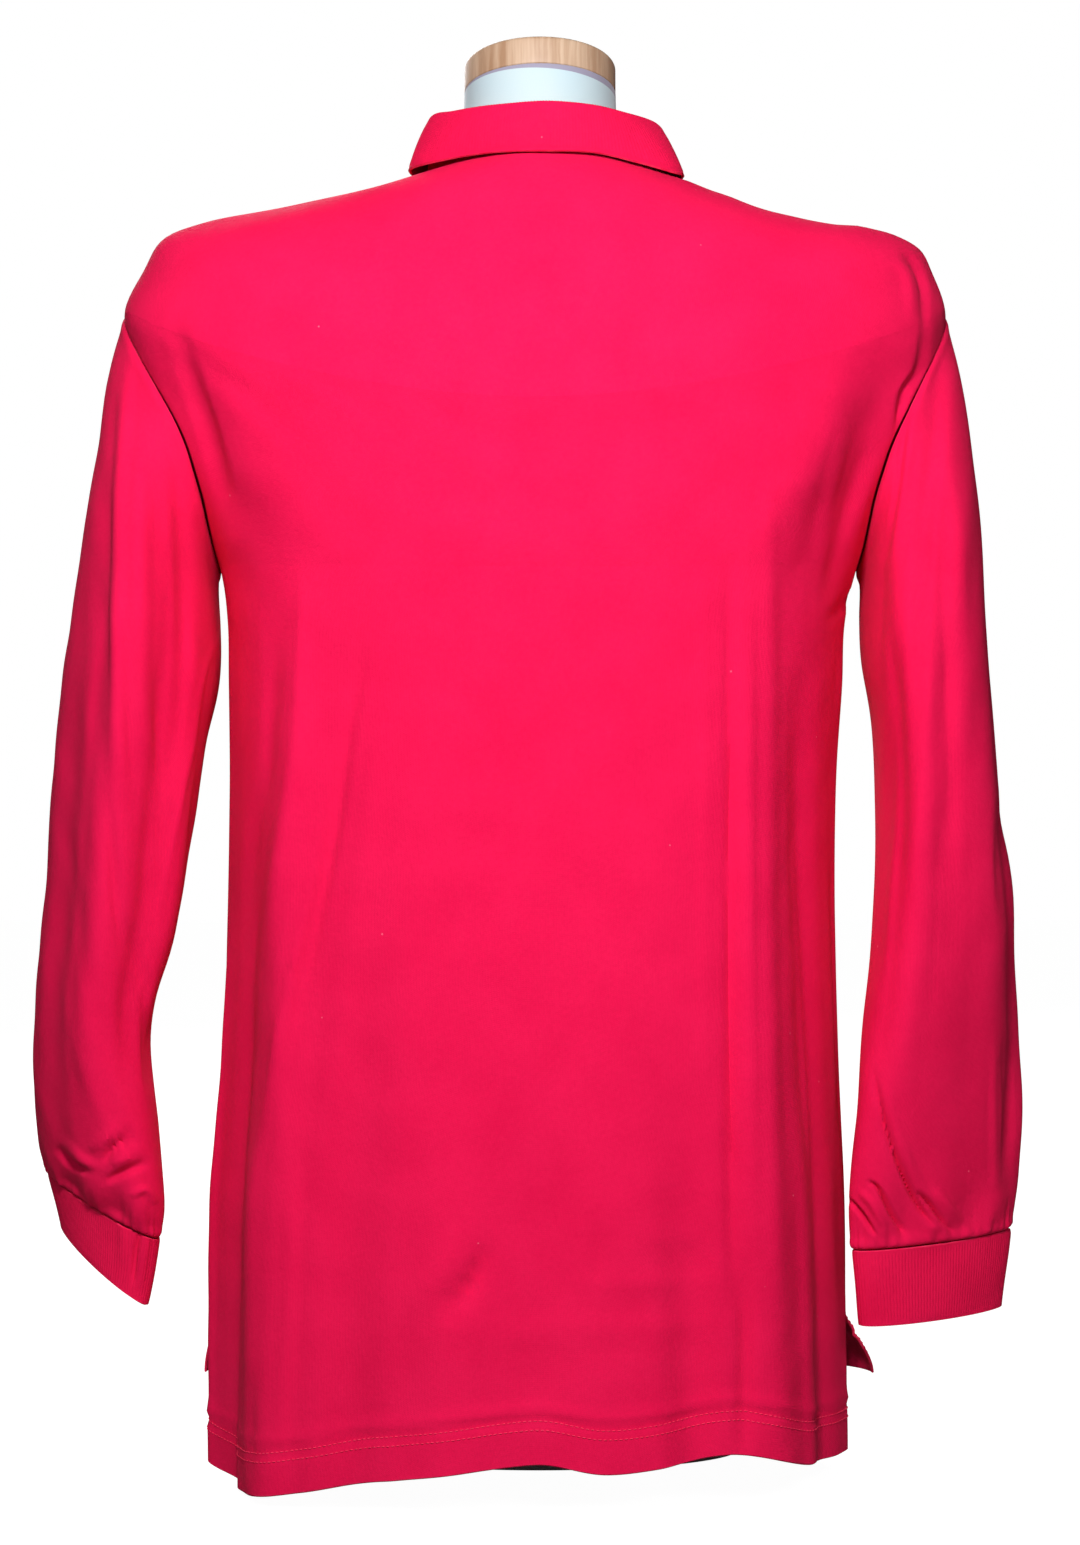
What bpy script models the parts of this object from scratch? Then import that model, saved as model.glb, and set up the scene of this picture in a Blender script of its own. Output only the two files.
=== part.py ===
"""A long sleeve polo shirt on a limbless table-top dress form, at real size.

The frame has +Z up, the wearer's front towards -Y and the wearer's left towards +X. The origin is the
middle of the base plate's underside. Sizes below are millimetres, and mesh_object() turns them to metres.
"""

import math
from collections import namedtuple

import bmesh
import bpy
import numpy as np
from mathutils import Vector

# Driving sizes, in millimetres
MM = 0.001
CLOTH = 1.6  # the knit body's wall
RIB = 2.0  # the ribbed collar's and cuffs' wall
SEAM_GAP = 0.3  # between two pieces at a seam
AROUND_SLEEVE = 32  # points round a sleeve, an even number
ACROSS_PANEL = 24  # cells across the front or the back
FORM_AROUND = 36

# The body of the shirt, row by row from the neckline to the hem. A row is a ring round the wearer that
# passes through its side points and its centre back and front points, which may lie at unlike heights.
BodyRow = namedtuple(
    "BodyRow", "place half_width shift_x tilt side_y side_z back_y back_z front_y front_z square"
)
BODY = [
    BodyRow("neckline", 72, -3, 0, -2, 776, 66, 780, -80, 707, 0.00),
    BodyRow("neck side", 105, -1.5, 0.8, -2, 766.3, 79, 766, -92, 688, 0.01),
    BodyRow("shoulder", 140, 0, 3, -2, 757, 91, 747, -103, 667, 0.02),
    BodyRow("shoulder", 175, 0, 3.6, -2, 750.2, 101, 726, -113, 645, 0.03),
    BodyRow("shoulder", 206, 0, 2.2, -2, 746, 109, 702, -120, 622, 0.04),
    BodyRow("shoulder end", 230, 0, 2.2, -2, 736.5, 115, 677, -126, 599, 0.05),
    BodyRow("drop", 240.5, 1, 1, -2, 719, 119, 652, -131, 577, 0.06),
    BodyRow("armhole top", 250, 3, 0, -2, 696, 121, 627, -134, 557, 0.06),
    BodyRow("armhole", 248, 2, 0, -2, 672, 122, 605, -136, 543, 0.06),
    BodyRow("armhole", 239, 1, 0, -2, 643, 123, 585, -137, 530, 0.06),
    BodyRow("armhole", 224, 1, 0, -1, 608, 123, 567, -138, 519, 0.06),
    BodyRow("armhole", 207, 1, 0, -1, 573, 123, 551, -139, 509, 0.06),
    BodyRow("armpit", 194, 1, 0, 0, 538, 122, 531, -140, 497, 0.06),
    BodyRow("chest", 188.2, 2.3, 0, 0, 505, 121, 502, -140, 480, 0.06),
    BodyRow("chest", 187.2, 2.8, 0, 0, 465, 120, 463, -140, 452, 0.05),
    BodyRow("waist", 185.3, 4.2, 0, 0, 415, 119, 415, -139, 410, 0.05),
    BodyRow("waist", 185.1, 5.1, 0, 0, 358, 119, 358, -138, 357, 0.05),
    BodyRow("hip", 186.1, 5.4, 0, 0, 300, 120, 300, -138, 300, 0.05),
    BodyRow("hip", 188.1, 5.4, 0, 0, 230, 122, 230, -139, 230, 0.05),
    BodyRow("hip", 192.2, 6.2, 0, 0, 155, 124, 155, -141, 155, 0.06),
    BodyRow("vent top", 192.5, 6, 0, 0, 88, 126, 88, -142, 88, 0.06),
    BodyRow("hem", 192, 5, 0, 0, 22, 128, 18, -143, 44, 0.06),
]
ARMHOLE_TOP, ARMPIT, VENT_TOP, HEM = 7.0, 12.0, 20.0, 21.0
ARMHOLE_ANGLE = math.radians(29)  # how far the armhole reaches round from the side line
ROWS_ABOVE_ARMHOLE = [0, 0.8, 1.7, 2.6, 3.5, 4.3, 5.1, 5.7, 6.3]
ROWS_BELOW_ARMHOLE = [12.7, 13.6, 14.6, 15.6, 16.6, 17.5, 18.4, 19.2, 20.0, 20.5, 21.0]
EDGE_REACH = math.radians(68)
BACK, FRONT = 1, -1

# Soft folds of a panel. The angle starts at the wearer's left side line, and a height above 0 is a ridge.
# The rows run from the fold's upper end to its lower end, and each end fades over its share of the length.
Fold = namedtuple("Fold", "angle_top angle_low row_top row_low width height fade_top fade_low")
FOLDS = {
    BACK: [
        Fold(48, 40, 11.5, 22, 9, 7.5, 0.45, 0.05),
        Fold(33, 23, 14.5, 22, 8, -8.0, 0.50, 0.05),
        Fold(17, 12, 15.5, 22, 7, 5.5, 0.50, 0.05),
        Fold(62, 58, 15.0, 22, 9, -4.5, 0.60, 0.05),
        Fold(127, 134, 11.5, 22, 9, 6.0, 0.45, 0.05),
        Fold(142, 151, 12.5, 22, 8, -8.0, 0.40, 0.05),
        Fold(158, 164, 14.5, 22, 7, 2.5, 0.50, 0.05),
        Fold(116, 119, 17.5, 22, 7, -7.0, 0.60, 0.05),
        Fold(92, 92, 17.0, 22, 10, -4.5, 0.60, 0.05),
        Fold(76, 76, 17.5, 22, 9, 4.0, 0.60, 0.05),
        Fold(138, 146, 6.5, 13.5, 11, -6.0, 0.40, 0.50),
        Fold(126, 130, 7.0, 14.5, 10, 4.0, 0.45, 0.50),
        Fold(38, 35, 6.5, 12.5, 11, -4.0, 0.40, 0.50),
    ],
    FRONT: [
        Fold(42, 35, 11.5, 22, 9, 7.5, 0.45, 0.05),
        Fold(27, 20, 13.0, 22, 8, -8.0, 0.50, 0.05),
        Fold(62, 56, 13.5, 22, 9, -6.0, 0.50, 0.05),
        Fold(80, 77, 14.5, 22, 9, 5.5, 0.55, 0.05),
        Fold(98, 102, 15.5, 22, 9, -4.5, 0.60, 0.05),
        Fold(116, 121, 13.0, 22, 9, 6.0, 0.50, 0.05),
        Fold(134, 141, 12.5, 22, 8, -8.0, 0.45, 0.05),
        Fold(151, 158, 13.5, 22, 8, 7.0, 0.50, 0.05),
        Fold(140, 145, 6.5, 13.0, 11, -5.0, 0.40, 0.50),
        Fold(40, 35, 6.5, 13.0, 11, -5.0, 0.40, 0.50),
    ],
}
# The hem's height by angle from the wearer's left side line. The front is cut shorter than the back.
HemPoint = namedtuple("HemPoint", "angle back front")
HEM_LINE = [
    HemPoint(0, 5, 47),
    HemPoint(9, 0, 45),
    HemPoint(18, -5, 42),
    HemPoint(30, -8, 38),
    HemPoint(45, -2, 36),
    HemPoint(64, 11, 39),
    HemPoint(90, 22, 43),
    HemPoint(103, 17, 41),
    HemPoint(117, 21, 38),
    HemPoint(126, 24, 36),
    HemPoint(143, 11, 37),
    HemPoint(163, 6, 42),
    HemPoint(180, 5, 46),
]
HANG = 11  # the tables' heights are raised by this, so that the hem hangs clear of the table top
# How far a panel's side edges stand out below the vents
Flare = namedtuple("Flare", "left right reach_deg")
VENT_FLARE = {BACK: Flare(0, -1, 14), FRONT: Flare(8, 17, 24)}

# The sleeves, ring by ring from the armhole to the cuff seam. The outer and inner points set the outline
# seen from behind, and turn moves the ring's widest points round, so that it lies aslant.
SleeveRow = namedtuple("SleeveRow", "outer_x outer_z inner_x inner_z centre_y half_depth turn")
SLEEVES = {
    "left": [
        SleeveRow(250, 698, 194, 538, -2, 60, 0),
        SleeveRow(260, 662, 197, 524, -2, 67, 0),
        SleeveRow(269, 612, 197, 502, 0, 76, -1),
        SleeveRow(279, 553, 196.5, 470, 0, 82, -4),
        SleeveRow(289.5, 490, 204, 430, 0, 81, -8),
        SleeveRow(298.5, 418, 211, 382, 0, 75, -12),
        SleeveRow(304.5, 345, 220, 323, 0, 68, -16),
        SleeveRow(311, 280, 235.5, 258, 2, 61, -22),
        SleeveRow(313.5, 225, 230, 200, 3, 55, -28),
        SleeveRow(311, 187, 226, 158, 4, 50, -36),
        SleeveRow(306, 168, 228, 135, 4, 40, -46),
    ],
    "right": [
        SleeveRow(248, 697, 193, 538, -2, 60, 0),
        SleeveRow(256, 660, 196, 526, -1, 67, 0),
        SleeveRow(263, 608, 196, 508, 0, 76, 0),
        SleeveRow(268.5, 550, 197, 480, 3, 81, -3),
        SleeveRow(273, 487, 202, 440, 5, 80, -8),
        SleeveRow(279, 415, 203, 388, 9, 74, -12),
        SleeveRow(288, 345, 199, 328, 19, 61, -20),
        SleeveRow(292, 280, 192.5, 266, 21.5, 56.5, -30),
        SleeveRow(295, 220, 186, 208, 29, 45, -42),
        SleeveRow(292, 172, 182.5, 163, 33, 37, -48),
        SleeveRow(286, 138, 184, 133, 36, 30, -50),
    ],
}
CUFFS = {
    "left": [
        SleeveRow(306, 167.6, 228, 134.6, 4, 40, -46),
        SleeveRow(301, 151, 231, 114, 5, 38, -47),
        SleeveRow(297, 134, 235, 95, 6, 36, -48),
    ],
    "right": [
        SleeveRow(286, 137.6, 184, 132.6, 36, 30, -50),
        SleeveRow(283, 114, 186, 110, 37, 29, -50),
        SleeveRow(280, 91, 188, 88, 37, 28, -50),
    ],
}
MIRROR_X = {"left": 1, "right": -1}
# Long soft folds of a sleeve: 0 degrees is the outer line and 90 the back
SleeveFold = namedtuple("SleeveFold", "angle_top angle_low row_top row_low width height")
SLEEVE_FOLDS = {
    "left": [
        SleeveFold(82, 104, 0.6, 8.6, 22, 6.0),
        SleeveFold(118, 142, 1.5, 8.0, 22, -7.0),
        SleeveFold(48, 66, 2.5, 9.4, 22, -4.0),
        SleeveFold(150, 166, 3.5, 7.6, 18, 4.0),
        SleeveFold(245, 232, 1.0, 8.5, 24, -6.0),
        SleeveFold(290, 280, 2.0, 9.2, 22, 5.0),
    ],
    "right": [
        SleeveFold(112, 128, 0.6, 8.0, 20, 6.0),
        SleeveFold(80, 96, 1.2, 7.0, 22, -5.0),
        SleeveFold(52, 60, 3.0, 9.2, 24, 4.0),
        SleeveFold(26, 30, 5.0, 9.4, 18, -3.5),
        SleeveFold(245, 232, 1.0, 8.5, 24, -6.0),
        SleeveFold(290, 300, 2.0, 9.2, 22, 5.0),
    ],
}
GATHERS = 8  # waves round a sleeve where it is sewn into its cuff
GATHER_HEIGHT = 2.2
JOIN_ROWS = 2.2  # over these rows a sleeve leaves the armhole's own curve

# The collar, by degrees from the centre back: the stand, its lean outwards, and the leaf's edge, as a row
# of the body, degrees towards the front, and a height off the cloth.
CollarRow = namedtuple("CollarRow", "degrees stand lean edge_row sweep lift")
COLLAR = {
    "left": [
        CollarRow(0, 28.7, 2.0, 0.36, 0, 3.0),
        CollarRow(28, 28.9, 1.2, 0.34, 0, 3.2),
        CollarRow(48, 31.5, -0.8, 0.50, 0, 4.2),
        CollarRow(66, 35.5, -3.2, 0.46, 0, 5.0),
        CollarRow(90, 36, -7.0, 0.22, 0, 3.6),
        CollarRow(112, 34, -9.0, 0.42, 4, 4.6),
        CollarRow(140, 26, 0.0, 1.55, 8, 5.0),
        CollarRow(172, 13, 3.0, 2.90, 22, 4.4),
    ],
    "right": [
        CollarRow(0, 28.7, 2.0, 0.36, 0, 3.0),
        CollarRow(22, 28.7, 0.8, 0.34, 0, 3.0),
        CollarRow(38, 28.7, -0.8, 0.64, 0, 2.9),
        CollarRow(52, 29.6, -1.8, 0.84, 0, 2.9),
        CollarRow(68, 31.5, -3.6, 0.56, 0, 3.0),
        CollarRow(90, 31.5, -4.8, 0.32, 0, 3.4),
        CollarRow(112, 32, -6.0, 0.46, 4, 4.8),
        CollarRow(140, 26, 0.0, 1.55, 8, 5.0),
        CollarRow(172, 13, 3.0, 2.90, 22, 4.4),
    ],
}
COLLAR_FOLD = 3.4  # the outer radius of the fold
COLLAR_END_X = 10

# The button placket at the centre front
PLACKET_WIDTH = 34
PLACKET_ROW_LOW = ARMHOLE_TOP
PLACKET_LAP = 1.5  # the upper band's overlap past the slot, on each side
BUTTON_RADIUS, BUTTON_HEIGHT = 5.75, 2.6
BUTTON_ROWS = [0.75, 3.3, 5.85]

# The dress form: how far its skin lies inside the cloth at the sides, the back and the front
FormRow = namedtuple("FormRow", "row side back front")
FORM = [
    FormRow(0.0, 1.5, 1.6, 1.8),
    FormRow(1.0, 1.2, 1.5, 1.6),
    FormRow(2.0, 1.2, 1.5, 1.6),
    FormRow(3.0, 1.3, 1.5, 1.8),
    FormRow(4.0, 2.4, 1.6, 2.0),
    FormRow(5.0, 7.0, 1.8, 2.8),
    FormRow(6.0, 15.0, 2.2, 4.0),
    FormRow(7.0, 24.0, 3.5, 6.0),
    FormRow(8.0, 32.0, 5.0, 8.0),
    FormRow(9.5, 38.0, 9.0, 11.0),
    FormRow(12.0, 22.0, 13.0, 14.0),
    FormRow(14.0, 30.0, 24.0, 24.0),
    FormRow(15.5, 42.0, 36.0, 32.0),
    FormRow(17.0, 36.0, 30.0, 28.0),
    FormRow(18.5, 27.0, 20.0, 26.0),
    FormRow(19.6, 30.0, 22.0, 30.0),
]
FORM_BOTTOM_Z = 58
NECK_LEAN = math.radians(9)  # the neck and its cap lean forward
NeckRow = namedtuple("NeckRow", "z centre_y radius_x radius_y")
NECK = [
    NeckRow(831, -9, 46.5, 46.5),
    NeckRow(816, -7, 47.0, 47.0),
    NeckRow(801, -5, 48.5, 49.5),
    NeckRow(788, -5, 52.0, 54.0),
]
CAP_RADIUS, CAP_HEIGHT, CAP_ROUND = 46.5, 18, 3
BASE_HALF_WIDTH, BASE_HALF_DEPTH, BASE_HEIGHT = 128, 56, 9
BASE_CENTRE_Y = -46
POST_RADIUS, POST_CENTRE_Y = 24, -30

# Colours as linear red, green and blue, with roughness
RED_KNIT = ("red_knit", (0.80, 0.012, 0.075), 0.85)
RED_RIB = ("red_rib", (0.74, 0.010, 0.068), 0.85)
BUTTON_RED = ("button_red", (0.55, 0.010, 0.050), 0.30)
FORM_CLOTH = ("form_cloth", (0.82, 0.87, 0.90), 0.80)
PALE_WOOD = ("pale_wood", (0.70, 0.46, 0.29), 0.50)
WHITE_PAINT = ("white_paint", (0.80, 0.80, 0.79), 0.45)


def clear_scene():
    """Removes whatever the scene holds."""
    for thing in list(bpy.data.objects):
        bpy.data.objects.remove(thing)


def material(named):
    """The named Principled material, made once."""
    name, colour, roughness = named
    found = bpy.data.materials.get(name)
    if found:
        return found
    made = bpy.data.materials.new(name)
    made.use_nodes = True
    shader = made.node_tree.nodes["Principled BSDF"]
    shader.inputs["Base Color"].default_value = (*colour, 1)
    shader.inputs["Roughness"].default_value = roughness
    shader.inputs["Metallic"].default_value = 0
    return made


def column(rows, name, at):
    """A table's named column, read smoothly between its rows (Catmull-Rom)."""
    values = np.array([getattr(row, name) for row in rows], float)
    last = len(values) - 1
    at = np.clip(np.asarray(at, float), 0, last)
    low = np.minimum(np.floor(at).astype(int), last - 1)
    t = at - low
    start, end = values[low], values[low + 1]
    before = np.where(low > 0, values[np.maximum(low - 1, 0)], 2 * start - end)
    after = np.where(low + 2 <= last, values[np.minimum(low + 2, last)], 2 * end - start)
    return start + 0.5 * t * (
        end - before
        + t * (2 * before - 5 * start + 4 * end - after + t * (3 * (start - end) + after - before))
    )


def column_by(rows, key, name, value):
    """The same, where the rows are placed by a key column and not evenly."""
    keys = np.array([getattr(row, key) for row in rows], float)
    at = np.interp(value, keys, np.arange(len(keys)))
    return column(rows, name, at)


def ease(t):
    """0 to 1 with a soft start and end."""
    t = np.clip(t, 0, 1)
    return t * t * (3 - 2 * t)


def hill(distance, half_width):
    """1 at no distance, falling softly to 0 at the half width."""
    return 0.5 * (1 + np.cos(np.pi * np.clip(np.abs(distance) / half_width, 0, 1)))


def wrapped(turn):
    """An angle brought between -pi and pi."""
    return (turn + np.pi) % (2 * np.pi) - np.pi


def unit(vectors):
    return vectors / np.maximum(np.linalg.norm(vectors, axis=-1, keepdims=True), 1e-9)


def normals_of(surface, first, second, last):
    """The unit normals of surface(first, second), by small differences. The second runs from 0 to last."""
    step = 1e-3
    second = np.clip(second, 3 * step, last - 3 * step)
    along_first = surface(first + step, second) - surface(first - step, second)
    along_second = surface(first, second + step) - surface(first, second - step)
    return unit(np.cross(along_first, along_second))


def body(angle, row, side):
    """The shirt's smooth body. The angle runs from the left side line (0) over to the right (pi), on the
    back (side 1) or the front (side -1)."""
    edge = "back" if side == BACK else "front"
    along, across = np.cos(angle), np.sin(angle)
    swell = 1 + column(BODY, "square", row) * np.sin(2 * angle) ** 2
    side_y = column(BODY, "side_y", row)
    x = column(BODY, "shift_x", row) + column(BODY, "half_width", row) * along * swell
    y = side_y + (column(BODY, edge + "_y", row) - side_y) * across * swell
    above = np.minimum(row, VENT_TOP)
    side_z = column(BODY, "side_z", above) + column(BODY, "tilt", above) * along
    z = side_z + (column(BODY, edge + "_z", above) - side_z) * across**2
    z = z + (column_by(HEM_LINE, "angle", edge, np.degrees(angle)) - z) * np.clip(row - VENT_TOP, 0, 1)
    return np.stack([x, y, z], -1)


def outward(angle, row, side):
    """The body's unit normals, pointing away from the wearer."""
    return -side * normals_of(lambda a, r: body(a, r, side), angle, row, HEM)


def fold_height(angle, row, side):
    """How far the folds move the cloth out (above 0) or in."""
    degrees = np.degrees(angle)
    total = np.zeros(np.broadcast(angle, row).shape)
    for fold in FOLDS[side]:
        share = (row - fold.row_top) / (fold.row_low - fold.row_top)
        centre = fold.angle_top + (fold.angle_low - fold.angle_top) * np.clip(share, 0, 1)
        fade = ease(share / fold.fade_top) * ease((1 - share) / fold.fade_low)
        total = total + fold.height * hill(degrees - centre, fold.width) * fade
    flare, below = VENT_FLARE[side], ease(row - VENT_TOP)
    total = total + flare.left * below * hill(degrees, flare.reach_deg)
    return total + flare.right * below * hill(degrees - 180, flare.reach_deg)


def shirt(angle, row, side):
    """The body with its folds, vents and uneven hem."""
    angle, row = np.broadcast_arrays(np.asarray(angle, float), np.asarray(row, float))
    points = body(angle, row, side)
    points = points + outward(angle, row, side) * fold_height(angle, row, side)[..., None]
    return points


def shirt_normals(angle, row, side):
    return -side * normals_of(lambda a, r: shirt(a, r, side), angle, row, HEM)


def armhole(turn, gap=0.0):
    """(angle, row) on the armhole seam. Turn 0 is its top and pi its lowest point."""
    reach = ARMHOLE_ANGLE + gap / 115
    half = (ARMPIT - ARMHOLE_TOP) / 2
    fall = 0.5 * np.cos(turn) + 0.5 * (1 - 2 * np.abs(wrapped(turn)) / np.pi)
    row = (ARMPIT + ARMHOLE_TOP) / 2 - (half + gap / 29) * fall
    return reach * np.abs(np.sin(turn)), row


def panel_rows():
    """The rows of a panel's grid and the angle of its side edge on each."""
    turns = np.linspace(0, np.pi, AROUND_SLEEVE // 2 + 1)
    hole_angles, hole_rows = armhole(turns, SEAM_GAP)
    rows = np.concatenate([ROWS_ABOVE_ARMHOLE, hole_rows, ROWS_BELOW_ARMHOLE])
    above, below = np.zeros(len(ROWS_ABOVE_ARMHOLE)), np.zeros(len(ROWS_BELOW_ARMHOLE))
    return rows, np.concatenate([above, hole_angles, below])


def angle_at(x, row):
    """The angle at which a row of the smooth body passes x."""
    return np.arccos((x - column(BODY, "shift_x", row)) / column(BODY, "half_width", row))


def panel_grid(side):
    """(angles, rows) of every point of a panel, from its left edge to its right edge. The front keeps two
    columns for the slot's sides."""
    rows, edges = panel_rows()
    reach = np.abs(column(BODY, ("back" if side == BACK else "front") + "_y", rows))
    edges = np.maximum(edges, SEAM_GAP / 2 / reach)[:, None]
    share = np.linspace(0, 1, ACROSS_PANEL + 1)[None, :]
    share = share - 0.25 * np.sin(2 * np.pi * share) / (2 * np.pi)
    angles = np.pi * share * np.ones_like(edges)
    if side == FRONT:
        half = ACROSS_PANEL // 2
        left = angle_at(PLACKET_WIDTH / 2, rows)[:, None]
        right = angle_at(-PLACKET_WIDTH / 2, rows)[:, None]
        beside = share[:, :half] / share[:, half - 1]
        other = np.pi + (right - np.pi) * beside[:, ::-1]
        angles = np.concatenate([left * beside, (left + right) / 2, other], axis=1)
    # Only the columns near a side make room for the armhole.
    left_room = np.clip(1 - angles / EDGE_REACH, 0, 1)
    right_room = np.clip(1 - (np.pi - angles) / EDGE_REACH, 0, 1)
    angles = angles + edges * (left_room - right_room)
    return angles, np.repeat(rows[:, None], ACROSS_PANEL + 1, axis=1)


def slot_rows():
    """The rows of the panel's grid that lie beside the placket's slot."""
    rows, _ = panel_rows()
    return rows[rows <= PLACKET_ROW_LOW]


def sleeve_ring(rows, turn, row):
    """Points of a tube given by a table of rings."""
    outer_x, inner_x = column(rows, "outer_x", row), column(rows, "inner_x", row)
    outer_z, inner_z = column(rows, "outer_z", row), column(rows, "inner_z", row)
    phase = np.radians(column(rows, "turn", row))
    x = (outer_x + inner_x) / 2 + (outer_x - inner_x) / 2 * np.cos(turn)
    z = (outer_z + inner_z) / 2 + (outer_z - inner_z) / 2 * np.cos(turn)
    y = column(rows, "centre_y", row) + column(rows, "half_depth", row) * np.sin(turn + phase)
    return np.stack([x, y, z], -1)


def armhole_points(side, turn):
    """The armhole's seam, from its top over the back (turn 0 to pi) and on over the front. The right one
    is brought over to the left, so that one sleeve function serves both."""
    back = np.sin(turn) >= 0
    angle, row = armhole(turn)
    angle = angle if side == "left" else np.pi - angle
    found = np.where(back[..., None], shirt(angle, row, BACK), shirt(angle, row, FRONT))
    return mirrored(found, side)


def mirrored(points, side):
    return points * np.array([MIRROR_X[side], 1, 1])


def sleeve_fold_height(side, turn, row):
    degrees = np.degrees(turn) % 360
    total = np.zeros(np.broadcast(turn, row).shape)
    for fold in SLEEVE_FOLDS[side]:
        share = (row - fold.row_top) / (fold.row_low - fold.row_top)
        centre = fold.angle_top + (fold.angle_low - fold.angle_top) * np.clip(share, 0, 1)
        fade = np.sin(np.pi * np.clip(share, 0, 1))
        total = total + fold.height * hill(degrees - centre, fold.width) * fade
    last = len(SLEEVES[side]) - 1
    near_cuff = ease((row - last + 1.6) / 1.1) * ease((last - row) / 0.4)
    spread = 0.2 + 0.8 * np.sin(turn) ** 2
    return total + GATHER_HEIGHT * near_cuff * spread * np.cos(GATHERS * turn)


def sleeve(side, turn, row):
    """A sleeve's cloth, on the left side. It starts on the armhole's curve."""
    turn, row = np.broadcast_arrays(np.asarray(turn, float), np.asarray(row, float))
    rings = SLEEVES[side]
    tube = sleeve_ring(rings, turn, row)
    normals = normals_of(lambda t, r: sleeve_ring(rings, t, r), turn, row, len(rings) - 1)
    tube = tube - normals * sleeve_fold_height(side, turn, row)[..., None]
    to_seam = armhole_points(side, turn) - sleeve_ring(rings, turn, np.zeros_like(row))
    return tube + to_seam * (1 - ease(row / JOIN_ROWS))[..., None]


def wall_mesh(outer, inner, closed=False, keep=None):
    """A wall between two grids of points. A closed grid runs round in its second direction. keep says
    which cells of an open grid are there."""
    mesh = bmesh.new()
    rows, columns = outer.shape[:2]
    across = columns if closed else columns - 1
    if keep is None:
        keep = np.ones((rows - 1, across), bool)
    skins = [
        [[mesh.verts.new(Vector(point) * MM) for point in line] for line in grid]
        for grid in (outer, inner)
    ]

    def there(i, j):
        if closed:
            j %= across
        return 0 <= i < rows - 1 and 0 <= j < across and keep[i, j]

    for i in range(rows - 1):
        for j in range(across):
            if not keep[i, j]:
                continue
            k = (j + 1) % columns
            corners = [(i, j), (i + 1, j), (i + 1, k), (i, k)]
            mesh.faces.new([skins[0][a][b] for a, b in corners])
            mesh.faces.new([skins[1][a][b] for a, b in reversed(corners)])
            beside = [(i, j - 1), (i + 1, j), (i, j + 1), (i - 1, j)]
            for n, neighbour in enumerate(beside):
                if there(*neighbour):
                    continue
                (a, b), (c, d) = corners[n], corners[(n + 1) % 4]
                mesh.faces.new([skins[0][c][d], skins[0][a][b], skins[1][a][b], skins[1][c][d]])
    loose = [point for point in mesh.verts if not point.link_faces]
    bmesh.ops.delete(mesh, geom=loose, context="VERTS")
    bmesh.ops.recalc_face_normals(mesh, faces=mesh.faces)
    return mesh


def mesh_object(name, mesh, finish, collection, place=(0, 0, HANG)):
    """Links a bmesh as a named object with its material, shaded smooth but for its sharp edges."""
    data = bpy.data.meshes.new(name)
    mesh.to_mesh(data)
    mesh.free()
    data.materials.append(material(finish))
    data.shade_smooth()
    data.set_sharp_from_angle(angle=math.radians(50))
    made = bpy.data.objects.new(name, data)
    made.location = Vector(place) * MM
    collection.objects.link(made)
    return made


def wall(name, outer, normals, thickness, finish, collection, closed=False, keep=None):
    """A cloth wall, from its outer points and the directions in which its thickness lies."""
    mesh = wall_mesh(outer, outer - normals * thickness, closed, keep)
    return mesh_object(name, mesh, finish, collection)


def make_panel(name, side, collection):
    """The back, or the front with its placket's slot."""
    angles, rows = panel_grid(side)
    keep = np.ones((len(rows) - 1, ACROSS_PANEL), bool)
    if side == FRONT:
        half = ACROSS_PANEL // 2
        keep[: len(slot_rows()) - 1, half - 1 : half + 1] = False
    outer, normals = shirt(angles, rows, side), shirt_normals(angles, rows, side)
    wall(name, outer, normals, CLOTH, RED_KNIT, collection, keep=keep)


def placket_band(name, rows, half_width, lift, collection):
    """A band down the centre front, moved out from the panel by lift."""
    row = np.array(rows)[:, None] * np.ones((1, 5))
    x = np.linspace(half_width, -half_width, 5)[None, :] * np.ones((len(rows), 1))
    angle = angle_at(x, row)
    normals = shirt_normals(angle, row, FRONT)
    wall(name, shirt(angle, row, FRONT) + normals * lift, normals, CLOTH, RED_KNIT, collection)


def make_placket(collection):
    """Two bands: the lower fills the slot at the panel's level, and the upper lies over it."""
    rows = slot_rows()
    low = [*rows[:-1], rows[-1] - SEAM_GAP / 28]
    placket_band("placket_under", low, PLACKET_WIDTH / 2 - SEAM_GAP, 0, collection)
    over = [*rows, rows[-1] + 0.1]
    half = PLACKET_WIDTH / 2 + PLACKET_LAP
    placket_band("placket_over", over, half, SEAM_GAP + CLOTH, collection)


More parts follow.
